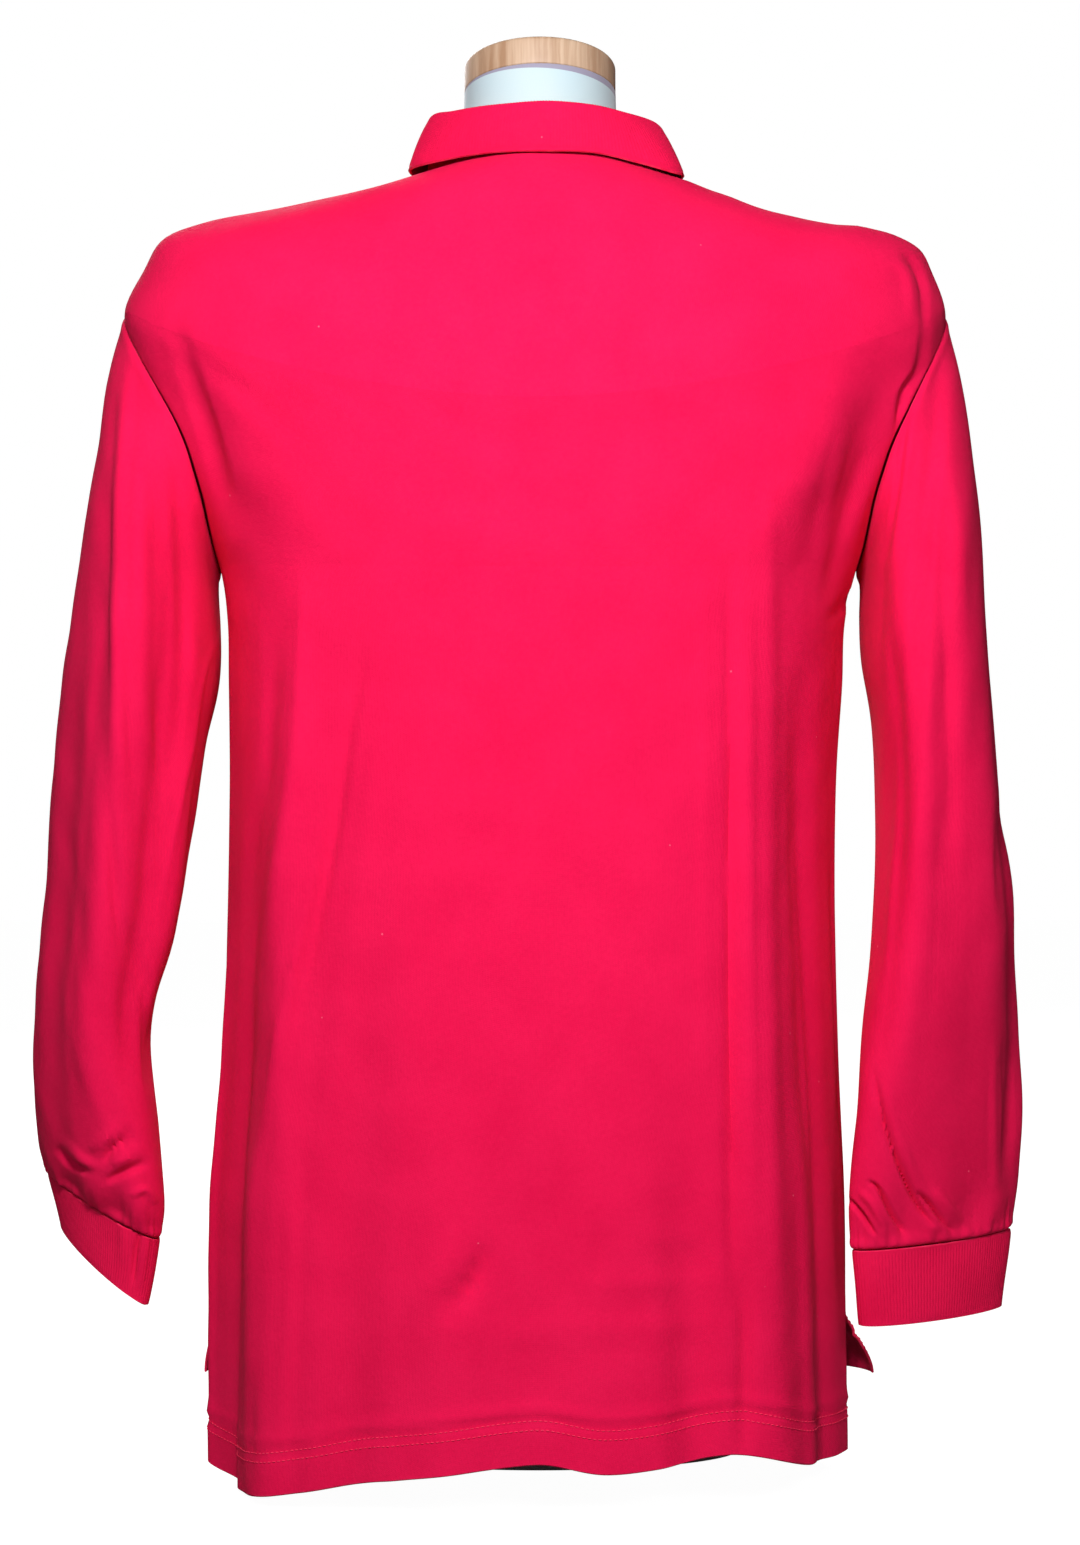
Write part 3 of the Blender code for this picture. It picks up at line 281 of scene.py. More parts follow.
STROKES = {
    "back_panel": [
        Stroke([(284, 610), (268, 753), (252, 846), (240, 932), (230, 1030)], 13, -2.0),
        Stroke([(304, 600), (294, 753), (280, 846), (266, 932), (252, 1030)], 13, 2.4),
        Stroke([(301, 560), (300, 660), (300, 770)], 5, 0.9),
        Stroke([(326, 840), (302, 922), (289, 990), (276, 1042), (262, 1140), (250, 1240)], 7, 2.2),
        Stroke([(364, 650), (349, 725), (338, 801), (330, 850), (314, 932), (284, 1090)], 11, -3.6),
        Stroke([(392, 680), (374, 780), (356, 900), (334, 1050)], 20, 1.6),
        Stroke([(264, 940), (259, 1060), (253, 1160), (249, 1280), (247, 1400), (246, 1500)], 10, 3.2),
        Stroke([(292, 1160), (290, 1300), (280, 1440)], 12, 2.0),
        Stroke([(788, 760), (791, 900), (802, 1100), (807, 1240), (812, 1400), (816, 1510)], 10, 3.2),
        Stroke([(252, 1372), (250, 1480)], 6, -2.0),
        Stroke([(768, 480), (770, 700), (770, 1000), (778, 1300)], 14, 2.0),
        Stroke([(730, 560), (731, 800), (731, 1100), (734, 1300)], 11, -4.2),
        Stroke([(750, 600), (750, 900), (754, 1250)], 9, 1.6),
        Stroke([(704, 560), (706, 800), (706, 1100)], 14, 1.4),
        Stroke([(744, 1262), (746, 1360), (744, 1450)], 12, -3.4),
        Stroke([(866, 450), (852, 500), (838, 560), (830, 600)], 16, -3.6),
        Stroke([(846, 430), (830, 490), (818, 560)], 12, 2.0),
        Stroke([(874, 572), (850, 598), (826, 622)], 7, -2.2),
        Stroke([(464, 1234), (442, 1272), (410, 1310)], 10, 2.2),
        Stroke([(488, 1250), (470, 1288), (440, 1314)], 14, -5.6),
        Stroke([(415, 1316), (498, 1314), (630, 1308), (740, 1304)], 6, -2.4),
        Stroke([(450, 1300), (600, 1296), (736, 1290)], 8, 1.0),
        Stroke([(450, 1332), (600, 1328), (740, 1322)], 14, 1.2),
        Stroke([(598, 1226), (597, 1292)], 8, -1.4),
        Stroke([(630, 1268), (680, 1256), (720, 1262)], 12, -1.6),
        Stroke([(690, 1210), (716, 1250)], 12, -1.2),
        Stroke([(618, 1246), (670, 1236)], 10, 1.0),
        Stroke([(466, 470), (462, 520)], 8, -0.8),
        Stroke([(176, 330), (196, 395), (212, 445), (226, 500)], 15, -4.0),
        Stroke([(905, 255), (917, 268), (924, 290), (925, 328)], 7, -3.4),
        Stroke([(896, 262), (908, 280), (912, 320)], 8, 1.6),
        Stroke([(925, 328), (920, 370), (905, 396), (901, 440), (895, 500), (887, 560)], 9, -4.0),
    ],
    "front_panel": [
        Stroke([(290, 620), (280, 760), (262, 900), (250, 1040)], 16, -2.6),
        Stroke([(310, 600), (300, 760), (284, 900), (268, 1060)], 13, 1.8),
        Stroke([(360, 700), (345, 850), (330, 1000), (318, 1180)], 16, -2.0),
        Stroke([(790, 560), (800, 760), (806, 960), (812, 1200)], 20, -3.0),
        Stroke([(764, 560), (772, 800), (780, 1100)], 14, 1.8),
        Stroke([(700, 640), (706, 860), (710, 1100)], 16, -1.8),
        Stroke([(600, 1180), (640, 1240), (700, 1262)], 16, -2.2),
        Stroke([(470, 1220), (440, 1280), (400, 1310)], 14, -2.4),
        Stroke([(450, 1216), (418, 1270), (384, 1296)], 10, 1.4),
        Stroke([(846, 450), (826, 520), (810, 590)], 14, -2.4),
        Stroke([(236, 450), (256, 520), (270, 590)], 14, -2.4),
    ],
    "left_sleeve": [
        Stroke([(130, 350), (122, 443), (118, 539), (118, 720), (124, 797)], 12, 2.6),
        Stroke([(112, 400), (104, 520), (100, 640), (100, 760), (112, 900)], 15, -2.8),
        Stroke([(110, 800), (116, 900), (128, 965)], 10, -2.4),
        Stroke([(140, 450), (140, 620), (145, 760), (150, 880)], 16, 2.6),
        Stroke([(176, 440), (182, 520), (186, 600), (182, 700), (172, 780)], 15, -3.0),
        Stroke([(221, 631), (202, 682), (191, 747), (174, 836), (158, 918)], 5, 1.2),
        Stroke([(127, 914), (141, 972), (151, 996)], 7, -2.4),
        Stroke([(144, 985), (146, 1040), (148, 1089)], 8, -2.4),
        Stroke([(102, 1163), (114, 1147), (135, 1136)], 7, -3.6),
        Stroke([(106, 1182), (123, 1173), (147, 1163)], 7, -3.8),
        Stroke([(57, 1147), (69, 1163), (88, 1173)], 7, -3.4),
        Stroke([(90, 1150), (104, 1140), (124, 1128)], 8, 2.0),
        Stroke([(112, 1166), (126, 1158), (146, 1150)], 7, 2.2),
        Stroke([(64, 1140), (80, 1158), (98, 1168)], 8, 1.8),
        Stroke([(130, 1196), (146, 1190), (156, 1204)], 7, 2.0),
        Stroke([(183, 395), (197, 450), (214, 505), (222, 540)], 8, -3.0),
    ],
    "left_sleeve_front": [
        Stroke([(120, 500), (112, 700), (108, 900)], 14, -2.4),
        Stroke([(150, 480), (146, 700), (140, 900)], 14, 1.8),
        Stroke([(80, 860), (110, 880), (150, 860)], 9, -2.4),
        Stroke([(76, 890), (110, 912), (146, 896)], 9, 1.4),
        Stroke([(70, 1110), (84, 1140), (96, 1166)], 7, -2.6),
        Stroke([(110, 1120), (120, 1150), (124, 1180)], 7, -2.6),
        Stroke([(140, 1130), (144, 1170)], 6, -2.0),
    ],
    "left_cuff": [
        Stroke([(143, 1221), (135, 1252), (133, 1284)], 5, -2.6),
        Stroke([(150, 1225), (145, 1255), (141, 1288)], 6, 1.4),
        Stroke([(122, 1200), (122, 1240), (120, 1264)], 8, 1.0),
    ],
    "right_sleeve": [
        Stroke([(921, 390), (906, 460), (896, 540), (892, 640), (890, 720)], 12, 2.6),
        Stroke([(940, 350), (936, 430), (926, 507), (919, 603), (916, 700), (900, 900)], 16, -3.2),
        Stroke([(960, 500), (956, 640), (960, 760), (955, 900)], 18, 1.8),
        Stroke([(890, 740), (886, 820), (880, 900), (876, 980)], 12, -2.2),
        Stroke([(1000, 800), (1000, 860), (1004, 918)], 9, -2.2),
        Stroke([(1006, 1040), (1008, 1110), (1004, 1190)], 8, -2.8),
        Stroke([(994, 1040), (994, 1190)], 6, 1.2),
        Stroke([(873, 1076), (885, 1126), (903, 1174), (918, 1206), (934, 1226)], 4, -4.6),
        Stroke([(884, 1080), (896, 1128), (914, 1172), (930, 1204)], 8, 1.6),
        Stroke([(869, 1182), (879, 1190), (892, 1214), (904, 1233)], 4, -4.6),
        Stroke([(860, 1192), (872, 1204), (884, 1226)], 7, 2.0),
        Stroke([(846, 1198), (861, 1214), (875, 1235)], 4, -4.2),
        Stroke([(918, 1192), (931, 1206), (953, 1233)], 4, -4.2),
        Stroke([(934, 1190), (948, 1206), (964, 1226)], 8, 1.6),
        Stroke([(908, 396), (903, 440), (897, 500), (889, 560)], 7, -3.0),
    ],
    "right_sleeve_front": [
        Stroke([(930, 480), (930, 700), (920, 900)], 14, -2.4),
        Stroke([(960, 500), (958, 720)], 14, 1.8),
        Stroke([(890, 900), (930, 925), (975, 905)], 9, -2.6),
        Stroke([(895, 930), (930, 952), (970, 936)], 9, 1.4),
        Stroke([(880, 1150), (894, 1190), (900, 1226)], 6, -2.6),
        Stroke([(930, 1160), (940, 1200), (944, 1226)], 6, -2.6),
        Stroke([(975, 1150), (980, 1210)], 6, -2.2),
    ],
}
# The hem is turned up and stitched down this far from its edge.
HEM_TURN = 25.0
STITCH_LENGTH, STITCH_PITCH, STITCH_RADIUS = 2.3, 3.0, 0.28
RIB_PITCH = 2.0
RIB_DEPTH = 0.28
# The stitch lines keep this many columns of a panel's grid away from its side edges.
EDGE_COLUMNS = 4
# The placket's lower band lies this far inside the panel's face, clear of the upper band.
UNDER_DROP = 0.4
# The buttonholes' threads lie this far over the upper band, under the buttons' seat.
BUTTONHOLE_LIFT = 0.18
THREAD_RADIUS = 0.17
HOLE_OFFSET, HOLE_RADIUS = 1.1, 0.62
# The shadow band on the form's neck under its cap: its width in metres at the middle, and its taper.
CAP_SHADE_WIDTH, CAP_SHADE_TAPER = 0.0028, 0.035


def smooth(values, at):
    """A list of values or points, read smoothly between its entries (Catmull-Rom)."""
    values = np.asarray(values, float)
    last = len(values) - 1
    at = np.clip(np.asarray(at, float), 0, last)
    low = np.minimum(np.floor(at).astype(int), last - 1)
    t = (at - low).reshape(at.shape + (1,) * (values.ndim - 1))
    has_before, has_after = (low > 0).reshape(t.shape), (low + 2 <= last).reshape(t.shape)
    start, end = values[low], values[low + 1]
    before = np.where(has_before, values[np.maximum(low - 1, 0)], 2 * start - end)
    after = np.where(has_after, values[np.minimum(low + 2, last)], 2 * end - start)
    return start + 0.5 * t * (
        end - before
        + t * (2 * before - 5 * start + 4 * end - after + t * (3 * (start - end) + after - before))
    )


def column(rows, name, at):
    """A table's named column, read smoothly between its rows."""
    return smooth([getattr(row, name) for row in rows], at)


def column_by(rows, key, name, value):
    """The same, where the rows are placed by a key column."""
    keys = np.array([getattr(row, key) for row in rows], float)
    return column(rows, name, np.interp(value, keys, np.arange(len(keys))))


def ease(t):
    t = np.clip(t, 0, 1)
    return t * t * (3 - 2 * t)


def hill(distance, half_width):
    return 0.5 * (1 + np.cos(np.pi * np.clip(np.abs(distance) / half_width, 0, 1)))


def wrapped(turn):
    return (turn + np.pi) % (2 * np.pi) - np.pi


def unit(vectors):
    return vectors / np.maximum(np.linalg.norm(vectors, axis=-1, keepdims=True), 1e-9)


def normals_of(surface, first, second, last):
    step = 1e-3
    second = np.clip(second, 3 * step, last - 3 * step)
    along_first = surface(first + step, second) - surface(first - step, second)
    along_second = surface(first, second + step) - surface(first, second - step)
    return unit(np.cross(along_first, along_second))


def body(angle, row, side):
    edge = "back" if side == BACK else "front"
    along, across = np.cos(angle), np.sin(angle)
    swell = 1 + column(BODY, "square", row) * np.sin(2 * angle) ** 2
    side_y = column(BODY, "side_y", row)
    x = column(BODY, "shift_x", row) + column(BODY, "half_width", row) * along * swell
    y = side_y + (column(BODY, edge + "_y", row) - side_y) * across * swell
    above = np.minimum(row, VENT_TOP)
    side_z = column(BODY, "side_z", above) + column(BODY, "tilt", above) * along
    z = side_z + (column(BODY, edge + "_z", above) - side_z) * across**2
    z = z + (column_by(HEM_LINE, "angle", edge, np.degrees(angle)) - z) * np.clip(row - VENT_TOP, 0, 1)
    return np.stack([x, y, z], -1)


def outward(angle, row, side):
    return -side * normals_of(lambda a, r: body(a, r, side), angle, row, HEM)


def fold_height(angle, row, side):
    degrees = np.degrees(angle)
    total = np.zeros(np.broadcast(angle, row).shape)
    for fold in FOLDS[side]:
        share = (row - fold.row_top) / (fold.row_low - fold.row_top)
        centre = fold.angle_top + (fold.angle_low - fold.angle_top) * np.clip(share, 0, 1)
        fade = ease(share / fold.fade_top) * ease((1 - share) / fold.fade_low)
        total = total + fold.height * hill(degrees - centre, fold.width) * fade
    flare, below = VENT_FLARE[side], ease(row - VENT_TOP)
    total = total + flare.left * below * hill(degrees, flare.reach_deg)
    return total + flare.right * below * hill(degrees - 180, flare.reach_deg)


def shirt(angle, row, side):
    angle, row = np.broadcast_arrays(np.asarray(angle, float), np.asarray(row, float))
    points = body(angle, row, side)
    return points + outward(angle, row, side) * fold_height(angle, row, side)[..., None]


def shirt_normals(angle, row, side):
    return -side * normals_of(lambda a, r: shirt(a, r, side), angle, row, HEM)


def armhole(turn, gap=0.0):
    reach = ARMHOLE_ANGLE + gap / 115
    half = (ARMPIT - ARMHOLE_TOP) / 2
    fall = 0.5 * np.cos(turn) + 0.5 * (1 - 2 * np.abs(wrapped(turn)) / np.pi)
    row = (ARMPIT + ARMHOLE_TOP) / 2 - (half + gap / 29) * fall
    return reach * np.abs(np.sin(turn)), row


def angle_at(x, row):
    return np.arccos((x - column(BODY, "shift_x", row)) / column(BODY, "half_width", row))


def sleeve_ring(rows, turn, row):
    outer_x, inner_x = column(rows, "outer_x", row), column(rows, "inner_x", row)
    outer_z, inner_z = column(rows, "outer_z", row), column(rows, "inner_z", row)
    phase = np.radians(column(rows, "turn", row))
    x = (outer_x + inner_x) / 2 + (outer_x - inner_x) / 2 * np.cos(turn)
    z = (outer_z + inner_z) / 2 + (outer_z - inner_z) / 2 * np.cos(turn)
    y = column(rows, "centre_y", row) + column(rows, "half_depth", row) * np.sin(turn + phase)
    return np.stack([x, y, z], -1)


def mirrored(points, side):
    return points * np.array([MIRROR_X[side], 1, 1])


def armhole_points(side, turn):
    back = np.sin(turn) >= 0
    angle, row = armhole(turn)
    angle = angle if side == "left" else np.pi - angle
    found = np.where(back[..., None], shirt(angle, row, BACK), shirt(angle, row, FRONT))
    return mirrored(found, side)


def sleeve_fold_height(side, turn, row):
    degrees = np.degrees(turn) % 360
    total = np.zeros(np.broadcast(turn, row).shape)
    for fold in SLEEVE_FOLDS[side]:
        share = (row - fold.row_top) / (fold.row_low - fold.row_top)
        centre = fold.angle_top + (fold.angle_low - fold.angle_top) * np.clip(share, 0, 1)
        fade = np.sin(np.pi * np.clip(share, 0, 1))
        total = total + fold.height * hill(degrees - centre, fold.width) * fade
    last = len(SLEEVES[side]) - 1
    near_cuff = ease((row - last + 1.6) / 1.1) * ease((last - row) / 0.4)
    spread = 0.2 + 0.8 * np.sin(turn) ** 2
    return total + GATHER_HEIGHT * near_cuff * spread * np.cos(GATHERS * turn)


def sleeve(side, turn, row):
    turn, row = np.broadcast_arrays(np.asarray(turn, float), np.asarray(row, float))
    rings = SLEEVES[side]
    tube = sleeve_ring(rings, turn, row)
    normals = normals_of(lambda t, r: sleeve_ring(rings, t, r), turn, row, len(rings) - 1)
    tube = tube - normals * sleeve_fold_height(side, turn, row)[..., None]
    to_seam = armhole_points(side, turn) - sleeve_ring(rings, turn, np.zeros_like(row))
    return tube + to_seam * (1 - ease(row / JOIN_ROWS))[..., None]


def in_frame(points):
    """Where points in millimetres fall in the photograph's frame, in pixels."""
    away = CAMERA_Y - points[..., 1] * MM
    across = PIXELS_WIDE / 2 - points[..., 0] * MM * PIXELS_PER_SLOPE / away
    height = (points[..., 2] + HANG) * MM - CAMERA_Z
    return across, PIXELS_HIGH / 2 - height * PIXELS_PER_SLOPE / away


def stroke_height(name, points):
    """The creases' height at each point, from the piece's list of strokes."""
    across, down = in_frame(points)
    total = np.zeros(across.shape)
    for stroke in STROKES.get(name, []):
        path = np.array(stroke.path, float)
        path = smooth(path, np.linspace(0, len(path) - 1, 4 * len(path)))
        nearest = np.full(across.shape, 1e9)
        share = np.zeros(across.shape)
        count = len(path) - 1
        for i in range(count):
            step = path[i + 1] - path[i]
            t = ((across - path[i, 0]) * step[0] + (down - path[i, 1]) * step[1]) / (step @ step)
            t = np.clip(t, 0, 1)
            far = np.hypot(across - path[i, 0] - t * step[0], down - path[i, 1] - t * step[1])
            share = np.where(far < nearest, (i + t) / count, share)
            nearest = np.minimum(nearest, far)
        fade = 0.12 + 0.88 * np.sin(np.pi * np.clip(share, 0, 1)) ** 0.7
        total = total + stroke.height * hill(nearest, stroke.width) * fade
    return total


def ripple(first, second, seed):
    """Faint unevenness, from 0 to about 1 either way, over two lengths in millimetres."""
    draw = np.random.default_rng(seed)
    total = np.zeros(np.broadcast(first, second).shape)
    for length in (190, 120, 85, 60, 44):
        for _ in range(3):
            way, phase = draw.uniform(0, 2 * np.pi, 2)
            wave = 2 * np.pi / (length * draw.uniform(0.8, 1.25))
            total = total + np.sin((first * math.cos(way) + second * math.sin(way)) * wave + phase)
    return total / 6


def lengths(points, axis):
    """How far along a grid each of its points lies, in millimetres."""
    steps = np.linalg.norm(np.diff(points, axis=axis), axis=-1)
    start = np.zeros_like(np.take(steps, [0], axis=axis))
    return np.concatenate([start, np.cumsum(steps, axis=axis)], axis=axis)


def mesh_piece(name, points, faces, finish, uv=None, wear=None, smooth_angle=50):
    """An object from points in millimetres, on the body called root."""
    data = bpy.data.meshes.new(name)
    points = (np.asarray(points) + np.array([0, 0, HANG])) * MM
    data.from_pydata(points.tolist(), [], [list(face) for face in faces])
    data.shade_smooth()
    data.set_sharp_from_angle(angle=math.radians(smooth_angle))
    if uv is not None:
        layer = data.uv_layers.new(name="cloth")
        layer.data.foreach_set("uv", np.asarray(uv, np.float32).ravel())
    if wear is not None:
        worn = data.attributes.new("wear", "FLOAT", "POINT")
        worn.data.foreach_set("value", np.asarray(wear, np.float32))
    data.materials.append(finish)
    made = bpy.data.objects.new(name, data)
    bpy.context.scene.collection.objects.link(made)
    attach(made, "root")
    return made


def shell(name, outer, normals, thickness, finish, closed=False, keep=None):
    """A sheet of cloth with rounded edges: an outer skin, an inner skin and a rim between them."""
    rows, columns = outer.shape[:2]
    index = np.arange(rows * columns).reshape(rows, columns)
    seamless = np.arange(rows * (columns + closed)).reshape(rows, columns + closed)
    if closed:
        index = np.concatenate([index, index[:, :1]], axis=1)
    ring = np.concatenate([outer, outer[:, :1]], axis=1) if closed else outer
    spread = np.stack([lengths(ring, 1), lengths(ring, 0)], -1).reshape(-1, 2) * MM

    def quads_of(grid):
        found = np.stack([grid[:-1, :-1], grid[1:, :-1], grid[1:, 1:], grid[:-1, 1:]], -1)
        return found.reshape(-1, 4) if keep is None else found[keep]

    quads, flats = quads_of(index), quads_of(seamless)
    skin, out = outer.reshape(-1, 3).copy(), normals.reshape(-1, 3)
    corner = skin[quads]
    facing = np.cross(corner[:, 2] - corner[:, 0], corner[:, 3] - corner[:, 1])
    if (facing * out[quads[:, 0]]).sum() < 0:
        quads, flats = quads[:, ::-1], flats[:, ::-1]
    total = len(skin)
    start, end = quads.ravel(), np.roll(quads, -1, axis=1).ravel()
    rim = ~np.isin(start * total + end, end * total + start)
    start, end = start[rim], end[rim]
    lining = skin - out * thickness
    middle = skin - out * thickness / 2
    along = np.zeros_like(skin)
    way = unit(skin[end] - skin[start])
    np.add.at(along, start, way)
    np.add.at(along, end, way)
    edge = np.unique(np.concatenate([start, end]))
    inward = unit(np.cross(out[edge], along[edge])) * thickness * 0.4
    skin[edge] += inward
    lining[edge] += inward
    place = np.full(total, -1)
    place[edge] = np.arange(len(edge)) + 2 * total
    faces = np.concatenate(
        [
            quads,
            quads[:, ::-1] + total,
            np.stack([end, start, place[start], place[end]], -1),
            np.stack([place[end], place[start], start + total, end + total], -1),
        ]
    )
    flat_of = np.zeros((total, 2))
    flat_of[quads.ravel()] = spread[flats.ravel()]
    rim_flats = flat_of[np.stack([end, start, start, end], -1)]
    uv = np.concatenate([spread[flats], spread[flats[:, ::-1]], rim_flats, rim_flats])
    points = np.concatenate([skin, lining, middle[edge]])
    wear = np.concatenate([np.isin(np.arange(total), edge)] * 2 + [np.ones(len(edge), bool)])
    used, faces = np.unique(faces, return_inverse=True)
    return mesh_piece(name, points[used], faces.reshape(-1, 4), finish, uv, wear[used])


def joined(name, points, faces, finish):
    """One object from many small meshes."""
    offset, all_faces = 0, []
    for some, these in zip(points, faces):
        all_faces += [[i + offset for i in face] for face in these]
        offset += len(some)
    return mesh_piece(name, np.concatenate(points), all_faces, finish)


def stitches(name, lines, finish):
    """Short rounded threads along lines of (points, normals)."""
    sides, rings = 6, 5
    turn = np.linspace(0, 2 * np.pi, sides, endpoint=False)
    share = np.linspace(-1, 1, rings)
    swell = np.sqrt(np.clip(1 - np.abs(share) ** 3, 0, 1)) * 0.85 + 0.15
    faces = []
    for i in range(rings - 1):
        for j in range(sides):
            k = (j + 1) % sides
            faces.append((i * sides + j, i * sides + k, (i + 1) * sides + k, (i + 1) * sides + j))
    faces.append(tuple(range(sides))[::-1])
    faces.append(tuple(range((rings - 1) * sides, rings * sides)))
    all_points, all_faces = [], []
    for points, normals in lines:
        far = lengths(points[None], 1)[0]
        count = int(far[-1] // STITCH_PITCH)
        if count < 1:
            continue
        at = (np.arange(count) + 0.5) * far[-1] / count
        centre = np.stack([np.interp(at, far, points[:, k]) for k in range(3)], -1)
        normal = unit(np.stack([np.interp(at, far, normals[:, k]) for k in range(3)], -1))
        ahead = np.stack([np.interp(at + 0.5, far, points[:, k]) for k in range(3)], -1)
        behind = np.stack([np.interp(at - 0.5, far, points[:, k]) for k in range(3)], -1)
        along = unit(ahead - behind)
        across = unit(np.cross(normal, along))
        arch = STITCH_RADIUS * (0.75 - 0.9 * share**2)
        for c, n, a, b in zip(centre, normal, along, across):
            spine = c + a * (share * STITCH_LENGTH / 2)[:, None] + n * arch[:, None]
            round_it = b * np.cos(turn)[:, None] + n * np.sin(turn)[:, None]
            thread = spine[:, None] + round_it[None] * (STITCH_RADIUS * swell)[:, None, None]
            all_points.append(thread.reshape(-1, 3))
            all_faces.append(faces)
    made = joined(name, all_points, all_faces, finish)
    return made


# Materials
def new_material(name, colour, roughness, sheen=0.0, sheen_tint=(1, 1, 1)):
    """A Principled material and its node tree, with the constant values on the shader's own sockets."""
    made = bpy.data.materials.new(name)
    made.use_nodes = True
    tree = made.node_tree
    shader = tree.nodes["Principled BSDF"]
    shader.inputs["Base Color"].default_value = (*colour, 1)
    shader.inputs["Roughness"].default_value = roughness
    shader.inputs["Sheen Weight"].default_value = sheen
    shader.inputs["Sheen Roughness"].default_value = 0.45
    shader.inputs["Sheen Tint"].default_value = (*sheen_tint, 1)
    return made, tree, shader


class Nodes:
    """Short ways to add and join shader nodes."""

    def __init__(self, tree):
        self.tree = tree

    def add(self, kind, **settings):
        node = self.tree.nodes.new(kind)
        for name, value in settings.items():
            setattr(node, name, value)
        return node

    def link(self, source, target):
        self.tree.links.new(source, target)

    def fill(self, socket, value):
        if isinstance(value, bpy.types.NodeSocket):
            self.link(value, socket)
        else:
            socket.default_value = value

    def math(self, operation, first, second=0.0):
        node = self.add("ShaderNodeMath", operation=operation)
        self.fill(node.inputs[0], first)
        self.fill(node.inputs[1], second)
        return node.outputs[0]

    def noise(self, vector, scale, detail=2.0, rough=0.5):
        node = self.add("ShaderNodeTexNoise")
        self.link(vector, node.inputs["Vector"])
        node.inputs["Scale"].default_value = scale
        node.inputs["Detail"].default_value = detail
        node.inputs["Roughness"].default_value = rough
        return node.outputs["Fac"]

    def ranged(self, value, low, high, to_low, to_high):
        node = self.add("ShaderNodeMapRange")
        self.fill(node.inputs["Value"], value)
        for name, number in zip(
            ("From Min", "From Max", "To Min", "To Max"), (low, high, to_low, to_high)
        ):
            node.inputs[name].default_value = number
        return node.outputs["Result"]

    def mix(self, factor, first, second, blend="MIX"):
        node = self.add("ShaderNodeMix", data_type="RGBA", blend_type=blend)
        self.fill(node.inputs["Factor"], factor)
        # A mix node's sockets for colours are its inputs 6 and 7 and its output 2
        self.fill(node.inputs[6], first)
        self.fill(node.inputs[7], second)
        return node.outputs[2]

    def bump(self, height, distance, strength, below=None):
        node = self.add("ShaderNodeBump")
        node.inputs["Strength"].default_value = strength
        node.inputs["Distance"].default_value = distance
        self.link(height, node.inputs["Height"])
        if below is not None:
            self.link(below, node.inputs["Normal"])
        return node.outputs["Normal"]


def knit_material(name, colour, light, dark, wale, course, ribbed=False):
    """Cotton knit: loops in columns and rows, a soft mottle, lint and paler worn edges."""
    made, tree, shader = new_material(name, colour, 0.86, 0.02, (1.0, 0.45, 0.55))
    shader.inputs["Specular IOR Level"].default_value = 0.08
    n = Nodes(tree)
    place = n.add("ShaderNodeTexCoord").outputs["Object"]
    flat = n.add("ShaderNodeUVMap", uv_map="cloth").outputs["UV"]
    parts = n.add("ShaderNodeSeparateXYZ")
    n.link(flat, parts.inputs[0])
    across = n.math("MULTIPLY", parts.outputs[0], 2 * math.pi / wale)
    down = n.math("MULTIPLY", parts.outputs[1], 2 * math.pi / course)
    columns = n.math("ABSOLUTE", n.math("SINE", n.math("MULTIPLY", across, 0.5)))
    lean = n.math("MULTIPLY", n.math("SINE", across), 1.1)
    loops = n.math("SINE", n.math("ADD", down, lean))
    loops = n.ranged(loops, -1, 1, 0.35, 1)
    knit = n.math("MULTIPLY", columns, loops)
    fuzz = n.noise(place, 1400, 3, 0.6)
    grain = n.noise(place, 420, 3, 0.65)
    mottle = n.noise(place, 26, 3, 0.55)
    cloud = n.noise(place, 6, 2, 0.5)
    tone = n.math("ADD", n.math("MULTIPLY", grain, 0.30), n.math("MULTIPLY", mottle, 0.45))
    tone = n.math("ADD", tone, n.math("MULTIPLY", cloud, 0.25))
    tone = n.ranged(tone, 0.36, 0.64, 0, 1)
    base = n.mix(tone, (*dark, 1), (*light, 1))
    # The grooves between the loops are darkened here: painted shade
    base = n.mix(n.ranged(knit, 0, 1, 0.16, 0), base, (*[0.55 * c for c in dark], 1))
    specks = n.add("ShaderNodeTexVoronoi", feature="F1")
    n.link(place, specks.inputs["Vector"])
    specks.inputs["Scale"].default_value = 55
    near = n.math("LESS_THAN", specks.outputs["Distance"], 0.035)
    rare = n.add("ShaderNodeSeparateColor")
    n.link(specks.outputs["Color"], rare.inputs[0])
    lint = n.math("MULTIPLY", near, n.math("GREATER_THAN", rare.outputs[0], 0.86))
    base = n.mix(n.math("MULTIPLY", lint, 0.35), base, (0.95, 0.22, 0.34, 1))
    worn = n.add("ShaderNodeAttribute", attribute_name="wear").outputs["Fac"]
    worn = n.math("MULTIPLY", worn, n.ranged(n.noise(place, 130, 2), 0.35, 0.7, 0.05, 0.42))
    base = n.mix(worn, base, (0.93, 0.075, 0.17, 1))
    n.link(base, shader.inputs["Base Color"])
    rough = n.ranged(n.noise(place, 300, 2), 0.3, 0.7, 0.80, 0.93)
    n.link(rough, shader.inputs["Roughness"])
    bump = n.bump(knit, 0.00022, 0.55)
    bump = n.bump(fuzz, 0.00018, 0.45, bump)
    bump = n.bump(grain, 0.0005, 0.40, bump)
    if not ribbed:
        bump = n.bump(mottle, 0.003, 0.18, bump)
    n.link(bump, shader.inputs["Normal"])
    return made


